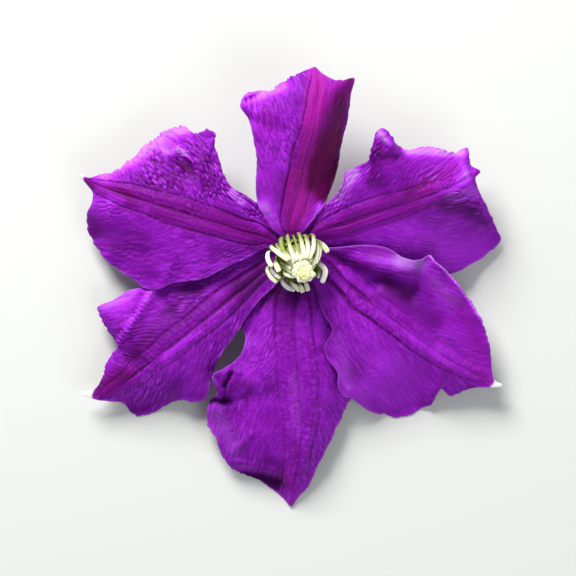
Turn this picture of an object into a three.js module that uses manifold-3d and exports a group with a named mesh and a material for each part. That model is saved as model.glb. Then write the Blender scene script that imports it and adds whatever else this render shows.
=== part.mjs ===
// A large-flowered clematis bloom, as picked: six broad sepals, a boss of stamens round a tuft of styles,
// and a short stalk. It lies face up on a surface, tipped so that it rests on its stalk and its lower sepals.
// Millimetres, +Z up. The origin is the middle of the box's base, and +Y points along the top sepal.
import * as THREE from "three";
import { mergeVertices } from "three/addons/utils/BufferGeometryUtils.js";
import Module from "manifold-3d";

const wasm = await Module();
wasm.setup();

// Driving dimensions
const FLOWER_AXIS = new THREE.Vector3(0.8, 11.3, 0); // where the sepals meet, seen from above
const FOOT_HEIGHT = 14; // where the sepals meet, above the surface that the flower lies on
const LEAN = THREE.MathUtils.degToRad(31); // how far the boss leans from the vertical
const LEAN_TOWARDS = THREE.MathUtils.degToRad(-67); // the way it leans, seen from above
const RING_RADIUS = 4.2; // where the sepals' feet meet the receptacle
const FOOT_SPREAD = THREE.MathUtils.degToRad(24); // half of the ring that one foot takes
const SEPAL_THICKNESS = 0.7;
const TIP_HALF_WIDTH = 0.45;
const BAR_HALF_WIDTH = 4.3; // from the middle vein to the vein on either side of it
const RIB_HEIGHT = 0.35;
const FRILL_HEIGHT = 0.45;
const FRILL_WAVES = 9;
const CALM_REACH = 9; // where a half is narrower than this, its relief shrinks with it

const PURPLE = new THREE.MeshStandardMaterial({ color: 0x7a1fa8, roughness: 0.6, metalness: 0 });
const CREAM = new THREE.MeshStandardMaterial({ color: 0xeff2c8, roughness: 0.6, metalness: 0 });
const YELLOW = new THREE.MeshStandardMaterial({ color: 0xf2efa0, roughness: 0.6, metalness: 0 });
const GREEN = new THREE.MeshStandardMaterial({ color: 0x6d8a45, roughness: 0.6, metalness: 0 });

const flower = new THREE.Group();
flower.position.copy(FLOWER_AXIS);
const centre = new THREE.Vector3(0, 0, FOOT_HEIGHT);

// The frame of the boss: its own +Z runs up the flower's axis.
const axis = new THREE.Vector3(
  Math.sin(LEAN) * Math.cos(LEAN_TOWARDS),
  Math.sin(LEAN) * Math.sin(LEAN_TOWARDS),
  Math.cos(LEAN),
);
const bossFrame = new THREE.Quaternion().setFromUnitVectors(new THREE.Vector3(0, 0, 1), axis);

// A point given round the flower's axis: radius, angle in degrees, height up the axis.
function aroundAxis(radius, degrees, height) {
  const angle = THREE.MathUtils.degToRad(degrees);
  return new THREE.Vector3(radius * Math.cos(angle), radius * Math.sin(angle), height)
    .applyQuaternion(bossFrame)
    .add(centre);
}

// A smooth curve through values at knots: a cubic with three-point slopes.
function smooth(knots, values, at) {
  const last = knots.length - 1;
  let i = 0;
  while (i < last - 1 && at > knots[i + 1]) i++;
  const rise = (k) => (values[k + 1] - values[k]) / (knots[k + 1] - knots[k]);
  const slope = (k) => {
    if (k === 0) return rise(0);
    if (k === last) return rise(last - 1);
    const before = knots[k] - knots[k - 1];
    const after = knots[k + 1] - knots[k];
    return (rise(k - 1) * after + rise(k) * before) / (before + after);
  };
  const span = knots[i + 1] - knots[i];
  const t = Math.min(Math.max((at - knots[i]) / span, 0), 1);
  const t2 = t * t;
  const t3 = t2 * t;
  return (
    (2 * t3 - 3 * t2 + 1) * values[i] +
    (t3 - 2 * t2 + t) * span * slope(i) +
    (3 * t2 - 2 * t3) * values[i + 1] +
    (t3 - t2) * span * slope(i + 1)
  );
}

// A rail is a smooth line through [x, y, z] points, run through from 0 to 1 by its length seen from above.
function rail(points) {
  const knots = [0];
  for (let i = 1; i < points.length; i++)
    knots.push(knots[i - 1] + Math.hypot(points[i][0] - points[i - 1][0], points[i][1] - points[i - 1][1]));
  const length = knots.at(-1);
  const columns = [0, 1, 2].map((k) => points.map((p) => p[k]));
  return (u) => columns.map((values) => smooth(knots, values, u * length));
}

// Each sepal is drawn by three rails from its foot to its tip, as points from the flower's axis: the middle
// vein and the two margins, of which "ccw" is the one on the anticlockwise side. A foot is an angle round the
// ring. A crown is how far each half swells above the straight line from the middle vein to the margin, at
// even steps from foot to tip. A fold is a ridge (or, with a negative rise, a groove) from one point to
// another, seen from above.
const SEPALS = [
  {
    name: "sepal_top",
    foot: 98,
    midrib: [
      [-1.2, 6, 17], [0.6, 15, 19.5], [2.7, 24, 23], [5.1, 33, 26.5], [6.6, 42, 28], [7.5, 49.5, 25.5],
      [6, 54.6, 20],
    ],
    ccw: [
      [-6.3, 6, 17.8], [-9.6, 10.8, 19.8], [-11.1, 14.1, 20.8], [-11.4, 19.5, 22.5], [-11.1, 27, 24.5],
      [-12, 32.4, 25.5], [-13.5, 38.4, 25.5], [-15.9, 43.5, 25.5], [-15, 45.9, 24.5], [-12.6, 47.1, 23.5],
      [-6.6, 47.7, 24], [-4.2, 49.5, 23.5], [-1.2, 51.6, 22.5], [2.4, 53.1, 21],
    ],
    cw: [
      [3.6, 6.3, 16.8], [6, 9.3, 17.2], [9.3, 13.5, 17.2], [11.1, 18, 15.6], [12.6, 22.5, 14.6],
      [13.8, 28.5, 14.8], [15, 35.5, 16.4], [16.2, 42, 19.2], [17.1, 46.5, 21.4], [18, 51.3, 22.5],
      [13.8, 50.4, 23.5], [10.8, 51.3, 23], [8.4, 52.8, 21.5],
    ],
    crownCcw: [0, 0, 0.8, 1.2, 1, 0.5],
    crownCw: [0, 0, 1, 1.5, 1.2, 0.3],
    folds: [],
  },
  {
    name: "sepal_upper_left",
    foot: 158,
    midrib: [
      [-7.6, 3.4, 16], [-16.2, 6, 17.5], [-25.2, 8.4, 18.5], [-34.2, 11.4, 18.5], [-43.2, 14.1, 17.5],
      [-52.2, 17.1, 15], [-58.8, 19.8, 12.5], [-64.2, 22.5, 11],
    ],
    ccw: [
      [-8.4, 0.6, 15.5], [-13.2, -2.1, 15.6], [-19.2, -4.5, 15.8], [-26.7, -8.4, 15.6], [-31.8, -9.3, 15.2],
      [-37.2, -10.2, 14.2], [-41.1, -12, 13], [-45, -11.4, 11.5], [-48.3, -9, 9.5], [-52.8, -6, 7.5],
      [-56.7, -3, 6], [-59.7, 1.2, 5], [-62.1, 6, 5], [-62.4, 10.2, 6], [-60.9, 13.8, 8],
      [-60.3, 16.8, 9.5], [-62.1, 19.5, 10.3],
    ],
    cw: [
      [-4.9, 6.4, 15.4], [-8.7, 11.4, 16.6], [-11, 14.2, 17.8], [-14.4, 16.4, 18.6], [-18.6, 18.9, 19],
      [-21, 22.8, 18], [-22.8, 28.5, 17], [-24, 32.4, 16.5], [-23.7, 35.4, 16.5], [-25.8, 36, 15.5],
      [-29.7, 35.1, 14], [-33.3, 37.2, 12.5], [-37.8, 36.3, 11.5], [-43.2, 32.7, 10.5],
      [-49.8, 26.7, 10.5], [-54.6, 23.4, 10.5], [-58.8, 22.5, 11], [-62.1, 21.6, 11],
    ],
    crownCcw: [0, 0.3, 1, 1.5, 1.5, 0.5],
    crownCw: [0, -0.5, 0.5, 1.5, 1.5, 0.5],
    folds: [
      { from: [-34.1, 27.4], to: [-31.1, 24.9], width: 3, rise: -1.8 },
      { from: [-32.1, 34.4], to: [-28.1, 26.4], width: 1.6, rise: 1.2 },
    ],
  },
  {
    name: "sepal_lower_left",
    foot: 218,
    midrib: [
      [-7.2, -5.1, 13], [-16.2, -12.3, 13.8], [-26.7, -21, 14.5], [-37.2, -29.1, 13.5], [-46.2, -36, 11],
      [-54.6, -42, 7.5], [-59.7, -44.1, 6], [-63.6, -43.2, 6],
    ],
    ccw: [
      [-5.4, -10.2, 12.6], [-9.6, -14.4, 12.8], [-13.8, -19.8, 12.6], [-16.2, -23.4, 12.2],
      [-19.8, -28.2, 11.5], [-22.8, -33, 10.5], [-24.9, -38.1, 9], [-27, -45, 6], [-29.1, -45.9, 5.5],
      [-33.3, -45.3, 5], [-38.7, -47.1, 1.4], [-43.2, -49.2, -1.8], [-47.4, -50.1, -2.6],
      [-49.8, -48.3, -1.4], [-51.3, -46.2, 2], [-55.2, -45.6, 4.5], [-58.8, -45.3, 5.5],
    ],
    cw: [
      [-7.8, 1.4, 13.1], [-13.8, -0.6, 13], [-22.8, -3.6, 12.4], [-31.5, -6, 11.4], [-38.4, -8.1, 10.4],
      [-42.3, -10.2, 9.5], [-45.3, -11.1, 8.5], [-49.8, -12, 7.5], [-54.3, -15, 6.5], [-59.1, -17.1, 5.5],
      [-58.2, -20.4, 5], [-56.1, -24, 4.5], [-52.8, -27.6, 5], [-54.3, -30.6, 5.5], [-56.1, -33.6, 5.5],
      [-57.9, -38.7, 5.5], [-60.3, -42, 5.8],
    ],
    crownCcw: [0, 0.3, 0.8, 1, 1, 0.3],
    crownCw: [0, 0, 0, 1, 1.5, 0.5],
    folds: [{ from: [-43.2, -13.2], to: [-50.6, -23.6], width: 2.6, rise: 2 }],
  },
  {
    name: "sepal_bottom",
    foot: 278,
    midrib: [
      [0.3, -10.2, 11.5], [0, -18, 12.2], [0.6, -28.5, 13.2], [1.5, -40.5, 13], [2.1, -51, 11.5],
      [1.8, -61.5, 8.5], [0.3, -70.5, 4.5], [-0.9, -77.4, 0.5],
    ],
    ccw: [
      [5.7, -9, 11], [9.3, -15, 10], [12.6, -22.5, 9], [15.3, -30, 8], [17.1, -37.5, 7], [17.4, -44.1, 5],
      [15.3, -48.3, 4.5], [12.6, -54, 5], [10.2, -59.1, 5], [7.8, -64.2, 4.5], [5.7, -68.4, 3],
      [4.2, -71.7, 1.5], [1.8, -74.1, 0.5], [0.3, -76.2, 0.3],
    ],
    cw: [
      [-6.3, -9.3, 10.8], [-11.1, -13.8, 10.3], [-14.7, -18.3, 10], [-16.2, -21.6, 10], [-14.7, -26.1, 11],
      [-15, -29.4, 12], [-17.1, -32.7, 12.5], [-21, -35.4, 13], [-24.6, -37.8, 13], [-24, -40.5, 11.5],
      [-23.1, -43.2, 8], [-25.5, -45.3, 5], [-26.4, -48.9, 5], [-25.8, -53.1, 5], [-23.7, -56.4, 5.5],
      [-22.5, -60, 5.5], [-20.4, -64.2, 4], [-16.2, -67.5, 0.5], [-11.4, -69, -1], [-7.8, -71.1, -1],
      [-4.5, -73.5, -0.3], [-2.4, -75.9, 0.2],
    ],
    crownCcw: [0, 0.5, 1, 1.5, 1, 0.3],
    crownCw: [0, 0.3, 0, 0.5, 1, 0.5],
    folds: [],
  },
  {
    name: "sepal_lower_right",
    foot: 338,
    midrib: [
      [7.8, -3, 12.6], [16.8, -10.8, 13.2], [27.3, -19.2, 14], [37.8, -27, 13.5], [46.8, -33.3, 11.5],
      [54.3, -37.2, 9], [59.1, -39.3, 7.5], [62.7, -40.8, 7],
    ],
    ccw: [
      [8.4, 0.6, 14.3], [13.8, 0.9, 15.5], [19.8, 1.5, 16.3], [25.8, 1.2, 16.6], [29.4, 0, 16.8],
      [32.4, -2.1, 17], [35.4, -3, 17], [38.4, -2.7, 16.8], [40.8, -1.5, 16.2], [42.3, -3.3, 15.8],
      [45.6, -6, 15], [48.9, -9.6, 13.5], [51.9, -13.5, 12], [54.6, -17.7, 10.5], [57, -22.2, 9.5],
      [58.5, -27, 8.5], [59.4, -32.4, 8], [59.7, -36.6, 7.5], [60.6, -39.3, 7.3],
    ],
    cw: [
      [5.7, -8.7, 12.6], [6.6, -12, 12.8], [7.8, -16.5, 13.2], [9, -19.8, 13.5], [11.1, -22.8, 13.8],
      [10.8, -26.4, 14], [9, -29.4, 14], [9.6, -31.8, 14], [13.2, -37.8, 12.5], [13.2, -41.4, 11.5],
      [14.7, -43.8, 9.5], [17.1, -44.7, 8], [19.8, -46.8, 6], [23.1, -48.6, 3.5], [27.3, -49.8, 0],
      [31.8, -50.4, -2.4], [35.7, -49.5, -2.4], [38.7, -47.7, 0], [41.1, -46.8, 2], [42.6, -43.8, 4],
      [44.4, -42, 5], [46.5, -43.8, 4], [49.5, -43.2, 4.5], [53.1, -41.7, 6], [58.8, -41.4, 7],
    ],
    crownCcw: [0, -0.6, -1, -0.4, 0.5, 0.3],
    crownCw: [0, 0.3, 0.6, 1, 1, 0.3],
    folds: [
      { from: [20, -3.6], to: [34.5, -6.6], width: 2.6, rise: 2.2 },
      { from: [14.5, -3.6], to: [24, -9.4], width: 2.2, rise: -1.6 },
      { from: [24, -9.4], to: [35, -13.2], width: 2.8, rise: -2.2 },
    ],
  },
  {
    name: "sepal_upper_right",
    foot: 38,
    midrib: [
      [6, 4.5, 15.5], [15.3, 7.8, 17.5], [25.8, 11.4, 19.5], [36.3, 14.7, 20.5], [45.3, 18, 19.5],
      [51.6, 21.3, 17], [55.8, 23.7, 14],
    ],
    ccw: [
      [2.6, 6.6, 14.6], [5.4, 9.4, 15.4], [8.4, 12.8, 16.6], [12, 15.6, 18.6], [14.1, 19.2, 21.5],
      [15.3, 23.1, 21.5], [18.6, 24.9, 21], [22.5, 27, 20.5], [23.4, 31.2, 22.5], [24.6, 35.1, 24],
      [26.1, 36.3, 24], [28.5, 34.8, 22.5], [30.6, 31.8, 19.5], [33.3, 30.3, 17.5], [39, 30.9, 15],
      [43.8, 30.3, 14], [48, 29.4, 14], [51.9, 30.9, 13.5], [52.5, 28.2, 14], [52.8, 25.5, 14],
    ],
    cw: [
      [8.4, 0.9, 12.6], [16.8, -0.9, 11.8], [27.3, -4.2, 11.2], [37.8, -7.2, 10], [45.3, -7.8, 8],
      [48.9, -6.9, 6.5], [52.8, -4.5, 4.5], [57.3, -1.8, 3], [60.9, 1.2, 2], [62.4, 3.3, 2.5],
      [61.2, 6.3, 5], [59.4, 10.2, 8.5], [57.3, 14.4, 11], [55.2, 18.6, 13], [54.3, 21.6, 13.7],
    ],
    crownCcw: [0, 0, 0.5, 1, 1, 0.3],
    crownCw: [0, 0.5, 1.5, 2, 2, 0.5],
    folds: [],
  },
];

// How high a fold lifts the sepal at a point seen from above.
function foldRise({ from, to, width, rise }, x, y) {
  const [dx, dy] = [to[0] - from[0], to[1] - from[1]];
  const along = ((x - from[0]) * dx + (y - from[1]) * dy) / (dx * dx + dy * dy);
  const t = Math.min(Math.max(along, 0), 1);
  const away = Math.hypot(x - from[0] - t * dx, y - from[1] - t * dy);
  return rise * Math.exp(-((away / width) ** 2));
}

// The middle surface of a sepal as a function of u, from foot to tip, and s, from -1 at the clockwise margin
// to 1 at the other. The veins of the bar lie at s = 0 and +-BAR.
const BAR = 0.3;
const CROWN_KNOTS = [0, 0.2, 0.4, 0.6, 0.8, 1];
const ACROSS_KNOTS = [-1, -0.5, 0, 0.5, 1];

function sepalSurface(spec) {
  const foot = (offset) =>
    aroundAxis(RING_RADIUS, spec.foot + THREE.MathUtils.radToDeg(offset), 0).toArray();
  const tip = spec.midrib.at(-1);
  const before = spec.midrib.at(-2);
  const length = Math.hypot(tip[0] - before[0], tip[1] - before[1]);
  const side = [(before[1] - tip[1]) / length, (tip[0] - before[0]) / length];
  const tipCorner = (offset) => [tip[0] + side[0] * offset, tip[1] + side[1] * offset, tip[2]];
  const midrib = rail([foot(0), ...spec.midrib]);
  const ccw = rail([foot(FOOT_SPREAD), ...spec.ccw, tipCorner(TIP_HALF_WIDTH)]);
  const cw = rail([foot(-FOOT_SPREAD), ...spec.cw, tipCorner(-TIP_HALF_WIDTH)]);
  return (u, s) => {
    const m = midrib(u);
    const edge = s < 0 ? cw(u) : ccw(u);
    const reach = Math.hypot(edge[0] - m[0], edge[1] - m[1]);
    const barWidth = BAR_HALF_WIDTH * Math.sqrt(Math.sin(Math.PI * (0.12 + 0.86 * u)));
    const bar = Math.min(barWidth / Math.max(reach, 0.1), 0.45);
    const t = Math.abs(s);
    const w = t < BAR ? (t / BAR) * bar : bar + ((t - BAR) / (1 - BAR)) * (1 - bar);
    const x = m[0] + (edge[0] - m[0]) * w;
    const y = m[1] + (edge[1] - m[1]) * w;
    const calm = Math.min(reach / CALM_REACH, 1);
    const across = [
      cw(u)[2],
      (cw(u)[2] + m[2]) / 2 + calm * smooth(CROWN_KNOTS, spec.crownCw, u),
      m[2],
      (ccw(u)[2] + m[2]) / 2 + calm * smooth(CROWN_KNOTS, spec.crownCcw, u),
      ccw(u)[2],
    ];
    let z = smooth(ACROSS_KNOTS, across, s < 0 ? -w : w);
    for (const fold of spec.folds) z += calm * foldRise(fold, x, y);
    const fade = calm * Math.min(u * 6, 1);
    if (t < BAR) z += RIB_HEIGHT * fade * Math.sin(Math.PI * (t / BAR)) ** 2;
    z += FRILL_HEIGHT * fade * t ** 6 * Math.sin(2 * Math.PI * FRILL_WAVES * u + spec.foot);
    return new THREE.Vector3(x, y, z);
  };
}

// A thin closed blade round a surface: the same grid of triangles on both faces, and a rim between them.
// Where it meets the ground it is pressed flat.
const ROWS = 26;
const COLUMNS = [-1, -0.86, -0.72, -0.58, -0.44, -0.3, -0.15, 0, 0.15, 0.3, 0.44, 0.58, 0.72, 0.86, 1];

function bladeGeometry(surface) {
  const width = COLUMNS.length;
  const middle = [];
  for (let i = 0; i <= ROWS; i++) for (const s of COLUMNS) middle.push(surface(i / ROWS, s));
  const at = (i, j) => middle[Math.min(Math.max(i, 0), ROWS) * width + Math.min(Math.max(j, 0), width - 1)];
  const steepness = (i, j) => {
    const along = at(i + 1, j).clone().sub(at(i - 1, j));
    const across = at(i, j + 1).clone().sub(at(i, j - 1));
    const normal = across.cross(along).normalize();
    return normal.z < 0 ? normal.negate() : normal;
  };
  // The upright of a vertex is evened out over its neighbours, and over its whole row where that is narrow.
  const upright = (i, j) => {
    const narrow = 1 - Math.min(at(i, 0).distanceTo(at(i, width - 1)) / (2 * CALM_REACH), 1);
    const sum = new THREE.Vector3();
    for (const di of [-1, 0, 1])
      for (const dj of [-1, 0, 1])
        sum.add(steepness(Math.min(Math.max(i + di, 0), ROWS), Math.min(Math.max(j + dj, 0), width - 1)));
    return sum.normalize().lerp(steepness(i, (width - 1) / 2), narrow).normalize();
  };
  const positions = [];
  const count = middle.length;
  for (const face of [1, -1])
    for (let i = 0; i <= ROWS; i++)
      for (let j = 0; j < width; j++) {
        const p = at(i, j).clone().addScaledVector(upright(i, j), (face * SEPAL_THICKNESS) / 2);
        p.z = Math.max(p.z, face > 0 ? SEPAL_THICKNESS : 0);
        positions.push(...p.toArray());
      }
  const index = [];
  const corner = (i, j, face) => (face > 0 ? 0 : count) + i * width + j;
  // s runs clockwise to anticlockwise and u runs outwards, so this order faces up on the upper face.
  for (let i = 0; i < ROWS; i++)
    for (let j = 0; j < width - 1; j++)
      for (const face of [1, -1]) {
        const [a, b] = [corner(i, j, face), corner(i + 1, j, face)];
        const [c, d] = [corner(i + 1, j + 1, face), corner(i, j + 1, face)];
        if (face > 0) index.push(a, b, c, a, c, d);
        else index.push(a, c, b, a, d, c);
      }
  const rim = [];
  for (let j = 0; j < width; j++) rim.push([0, j]);
  for (let i = 1; i <= ROWS; i++) rim.push([i, width - 1]);
  for (let j = width - 2; j >= 0; j--) rim.push([ROWS, j]);
  for (let i = ROWS - 1; i > 0; i--) rim.push([i, 0]);
  rim.forEach(([i, j], k) => {
    const [ni, nj] = rim[(k + 1) % rim.length];
    const [a, b, c, d] = [corner(i, j, 1), corner(ni, nj, 1), corner(ni, nj, -1), corner(i, j, -1)];
    index.push(a, b, c, a, c, d);
  });
  return closedGeometry(positions, index);
}

function closedGeometry(positions, index) {
  const geometry = new THREE.BufferGeometry();
  geometry.setAttribute("position", new THREE.Float32BufferAttribute(positions, 3));
  geometry.setIndex(index);
  geometry.computeVertexNormals();
  return geometry;
}

// A closed strand along a line of points: at each one a half width across "flat" and a half thickness.
function strandGeometry(points, halfWidths, halfThicknesses, sides, flat) {
  const curve = new THREE.CatmullRomCurve3(points, false, "centripetal");
  const steps = halfWidths.length - 1;
  const positions = [];
  const index = [];
  for (let i = 0; i <= steps; i++) {
    const centre = curve.getPoint(i / steps);
    const tangent = curve.getTangent(i / steps);
    const across = flat.clone().addScaledVector(tangent, -flat.dot(tangent)).normalize();
    const out = tangent.clone().cross(across);
    for (let k = 0; k < sides; k++) {
      const angle = (2 * Math.PI * (k + 0.5)) / sides;
      const p = centre
        .clone()
        .addScaledVector(across, Math.cos(angle) * halfWidths[i])
        .addScaledVector(out, Math.sin(angle) * halfThicknesses[i]);
      positions.push(...p.toArray());
    }
  }
  for (let i = 0; i < steps; i++)
    for (let k = 0; k < sides; k++) {
      const [a, b] = [i * sides + k, i * sides + ((k + 1) % sides)];
      index.push(a, b, b + sides, a, b + sides, a + sides);
    }
  for (let k = 1; k < sides - 1; k++) {
    const top = steps * sides;
    index.push(0, k + 1, k, top, top + k, top + k + 1);
  }
  return closedGeometry(positions, index);
}

// A three.js geometry as a manifold-3d solid, and back.
function solidOf(geometry) {
  const bare = geometry.clone();
  bare.deleteAttribute("normal");
  bare.deleteAttribute("uv");
  const merged = mergeVertices(bare, 1e-4);
  return new wasm.Manifold(
    new wasm.Mesh({
      numProp: 3,
      vertProperties: merged.attributes.position.array,
      triVerts: new Uint32Array(merged.index.array),
    }),
  );
}

// The outer body alone: a hollow that joining sealed is filled, and a loose scrap is dropped.
function geometryOf(solid) {
  const bodies = solid.decompose().sort((a, b) => b.volume() - a.volume());
  const mesh = bodies[0].getMesh();
  return closedGeometry(Array.from(mesh.vertProperties), Array.from(mesh.triVerts));
}

function addMesh(name, geometry, material, parent = flower) {
  const mesh = new THREE.Mesh(geometry, material);
  mesh.name = name;
  parent.add(mesh);
}

// Sepals
for (const spec of SEPALS) addMesh(spec.name, bladeGeometry(sepalSurface(spec)), PURPLE);

// Stalk and receptacle, one grown piece: a ribbed stalk that lies on the surface, rises, and swells under the
// sepals.
const STALK_RADIUS = 1.15;
const STALK_SIDES = 12;
const STALK_STEPS = 14;
const STALK_RIB = 0.08; // how far every other side stands out, as a share of the radius
const stalkPath = [
  new THREE.Vector3(-3.5, 29.4, 0.9 * STALK_RADIUS),
  new THREE.Vector3(-3.1, 22.4, 0.9 * STALK_RADIUS),
  new THREE.Vector3(-2.4, 15.4, 1.6),
  new THREE.Vector3(-1.7, 8.9, 3.6),
  aroundAxis(0, 0, -6),
  aroundAxis(0, 0, -2.9),
];
// The receptacle's outline: [radius, height up the axis]
const RECEPTACLE = [[1.7, -2.4], [2.7, -1.9], [3.5, -1.1], [3.85, -0.3], [3.7, 0.3], [2.8, 0.8], [1.4, 1]];

function stalkGeometry() {
  const curve = new THREE.CatmullRomCurve3(stalkPath, false, "centripetal");
  const rings = [];
  for (let i = 0; i <= STALK_STEPS; i++)
    rings.push({
      middle: curve.getPoint(i / STALK_STEPS),
      tangent: curve.getTangent(i / STALK_STEPS),
      radius: STALK_RADIUS,
    });
  for (const [radius, height] of RECEPTACLE)
    rings.push({ middle: aroundAxis(0, 0, height), tangent: axis.clone(), radius });
  const positions = [];
  const index = [];
  for (const { middle, tangent, radius } of rings) {
    const across = new THREE.Vector3(1, 0, 0).addScaledVector(tangent, -tangent.x).normalize();
    const up = tangent.clone().cross(across);
    for (let k = 0; k < STALK_SIDES; k++) {
      const angle = (2 * Math.PI * k) / STALK_SIDES;
      const r = radius * (radius > STALK_RADIUS ? 1 : 1 + STALK_RIB * (-1) ** k);
      const p = middle
        .clone()
        .addScaledVector(across, Math.cos(angle) * r)
        .addScaledVector(up, Math.sin(angle) * r);
      p.z = Math.max(p.z, 0);
      positions.push(...p.toArray());
    }
  }
  for (let i = 0; i < rings.length - 1; i++)
    for (let k = 0; k < STALK_SIDES; k++) {
      const a = i * STALK_SIDES + k;
      const b = i * STALK_SIDES + ((k + 1) % STALK_SIDES);
      index.push(a, b, b + STALK_SIDES, a, b + STALK_SIDES, a + STALK_SIDES);
    }
  const last = (rings.length - 1) * STALK_SIDES;
  for (let k = 1; k < STALK_SIDES - 1; k++) index.push(0, k + 1, k, last, last + k, last + k + 1);
  return closedGeometry(positions, index);
}
addMesh("stalk_and_receptacle", stalkGeometry(), GREEN);

// The boss stands in its own frame, with +Z up the flower's axis.
const boss = new THREE.Group();
boss.quaternion.copy(bossFrame);
boss.position.copy(centre);
flower.add(boss);

// A repeatable draw from -1 to 1.
function draw(n) {
  const value = Math.sin(n * 12.9898 + 4.1414) * 43758.5453;
  return 2 * (value - Math.floor(value)) - 1;
}

// Stamens: flat filaments with long anthers, rooted in a collar on the receptacle. Each of the two inner
// whorls bulges to one radius and closes to another round the styles.
const COLLAR = { inner: 2, outer: 3.4, bottom: 1.4, top: 2.5 };
const WHORLS = [
  { count: 12, root: 2.5, bulge: 4.2, tip: 3, height: 12.2 },
  { count: 14, root: 2.8, bulge: 5.8, tip: 4.2, height: 10.9 },
];
// Stamens of the outer whorl, each by its bend, its middle and its tip: x and y from the flower's axis seen
// from above, and the height up that axis. They turn their broad sides up.
const OUTER_ROOT = 3;
const OUTER_STAMENS = [
  [[-2, 3.9, 4.5], [-0.8, -0.6, 9], [0.9, -3.3, 12.2]],
  [[-0.1, 3.4, 4.8], [1.3, -0.8, 9.6], [2.1, -3.6, 12.6]],
  [[1.5, 4.4, 4.5], [2.8, 0.5, 9], [4.1, -1.9, 11.8]],
  [[3.6, 3.7, 4.8], [4.5, 0.3, 9.2], [3.2, -2.8, 12.4]],
  [[5.7, 4.1, 4.6], [6, 0, 9], [4.5, -3, 12.2]],
  [[7.6, 2.2, 5], [7.5, -1.6, 9], [6.3, -4.2, 11.6]],
  [[-3.4, 2.9, 4.6], [-2.8, -1, 8.6], [-0.8, -3.2, 11.6]],
  [[-7.1, 1.4, 5], [-4.6, -1.3, 9], [-1.7, -3.9, 11.8]],
  [[-7.6, -0.4, 5.6], [-7.9, -2.8, 7.4], [-6.6, -5, 9.2]],
  [[-8.1, -5.4, 5.6], [-7.4, -8, 7], [-5.3, -9.9, 8.6]],
  [[-7, -5.6, 6.6], [-5.8, -7.6, 8.2], [-4.1, -8.7, 9.8]],
  [[-5.6, -3.6, 7.6], [-5.1, -5, 8.8], [-4.3, -6.5, 10.2]],
  [[6.9, 3, 4.4], [9, 1.6, 5.4], [10.7, -0.5, 6.4]],
  [[7.4, -4.1, 7], [9.3, -6.4, 8], [8.3, -10.1, 9]],
  [[-3.6, -9.4, 5.6], [-2, -11.1, 6.4], [0.2, -12.1, 7.4]],
  [[-0.6, -9.8, 7.4], [0.6, -11, 8.2], [1.9, -12.4, 8.8]],
  [[2.8, -10.6, 8.2], [3.4, -11.6, 8.8], [4.1, -12.8, 9.2]],
  [[-3, -6.8, 9], [-1.8, -7.4, 10.4], [0, -7.9, 11.8]],
  [[4.8, -9.6, 8.4], [5.2, -10.6, 9.2], [5.4, -11.6, 9.8]],
  [[-5.2, 1.2, 5.8], [-3.8, -1.2, 8.8], [-1.6, -3.2, 11.2]],
];
const STAMEN_HALF_WIDTHS = [0.5, 0.54, 0.7, 0.96, 1, 0.8];
const STAMEN_HALF_THICKNESSES = [0.44, 0.44, 0.44, 0.54, 0.54, 0.44];

function collarGeometry() {
  const profile = [
    new THREE.Vector2(COLLAR.inner, COLLAR.bottom),
    new THREE.Vector2(COLLAR.outer, COLLAR.bottom),
    new THREE.Vector2(COLLAR.outer, COLLAR.top - 0.3),
    new THREE.Vector2(COLLAR.outer - 0.4, COLLAR.top),
    new THREE.Vector2(COLLAR.inner, COLLAR.top),
    new THREE.Vector2(COLLAR.inner, COLLAR.bottom),
  ];
  return new THREE.LatheGeometry(profile, 24).rotateX(Math.PI / 2);
}

// A point in the boss's frame at a radius, an angle and a height.
function inBoss(radius, angle, height) {
  return new THREE.Vector3(radius * Math.cos(angle), radius * Math.sin(angle), height);
}

function stamenGeometry(points, flat) {
  return strandGeometry(points, STAMEN_HALF_WIDTHS, STAMEN_HALF_THICKNESSES, 4, flat);
}

function whorlStamen(whorl, seed, number) {
  const turn = (2 * Math.PI) / whorl.count;
  const angle = turn * (number + 0.3 * seed + 0.25 * draw(seed * 50 + number));
  const sway = 0.2 * draw(seed * 110 + number);
  const height = whorl.height * (1 + 0.07 * draw(seed * 70 + number));
  const bulge = whorl.bulge * (1 + 0.05 * draw(seed * 90 + number));
  const tip = whorl.tip;
  const points = [
    inBoss(whorl.root, angle, COLLAR.bottom + 0.3),
    inBoss(whorl.root + 0.25 * (bulge - whorl.root), angle, COLLAR.top + 0.8),
    inBoss(bulge, angle + 0.3 * sway, height * 0.58),
    inBoss(tip + 0.35 * (bulge - tip), angle + 0.7 * sway, height * 0.86),
    inBoss(tip, angle + sway, height),
  ];
  return stamenGeometry(points, new THREE.Vector3(-Math.sin(angle), Math.cos(angle), 0));
}

// The point in the boss's frame that lies at x, y seen from above, at a height up the axis.
function fromAbove([x, y, height]) {
  const along = x * Math.cos(LEAN_TOWARDS) + y * Math.sin(LEAN_TOWARDS);
  const aside = y * Math.cos(LEAN_TOWARDS) - x * Math.sin(LEAN_TOWARDS);
  const angle = Math.atan2(aside, (along - height * Math.sin(LEAN)) / Math.cos(LEAN));
  const radius = Math.hypot(aside, (along - height * Math.sin(LEAN)) / Math.cos(LEAN));
  return inBoss(radius, angle + LEAN_TOWARDS, height);
}

function outerStamen(places) {
  const [bend, middle, tip] = places.map(fromAbove);
  const angle = Math.atan2(bend.y, bend.x);
  const away = Math.hypot(bend.x, bend.y);
  const up = new THREE.Vector3(0, 0, 1).applyQuaternion(bossFrame.clone().invert());
  const points = [
    inBoss(OUTER_ROOT, angle, COLLAR.bottom + 0.3),
    inBoss(OUTER_ROOT + 0.3 * (away - OUTER_ROOT), angle, COLLAR.top + 0.4),
    bend,
    middle,
    tip,
  ];
  return stamenGeometry(points, up.cross(tip.clone().sub(bend)).normalize());
}

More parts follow.
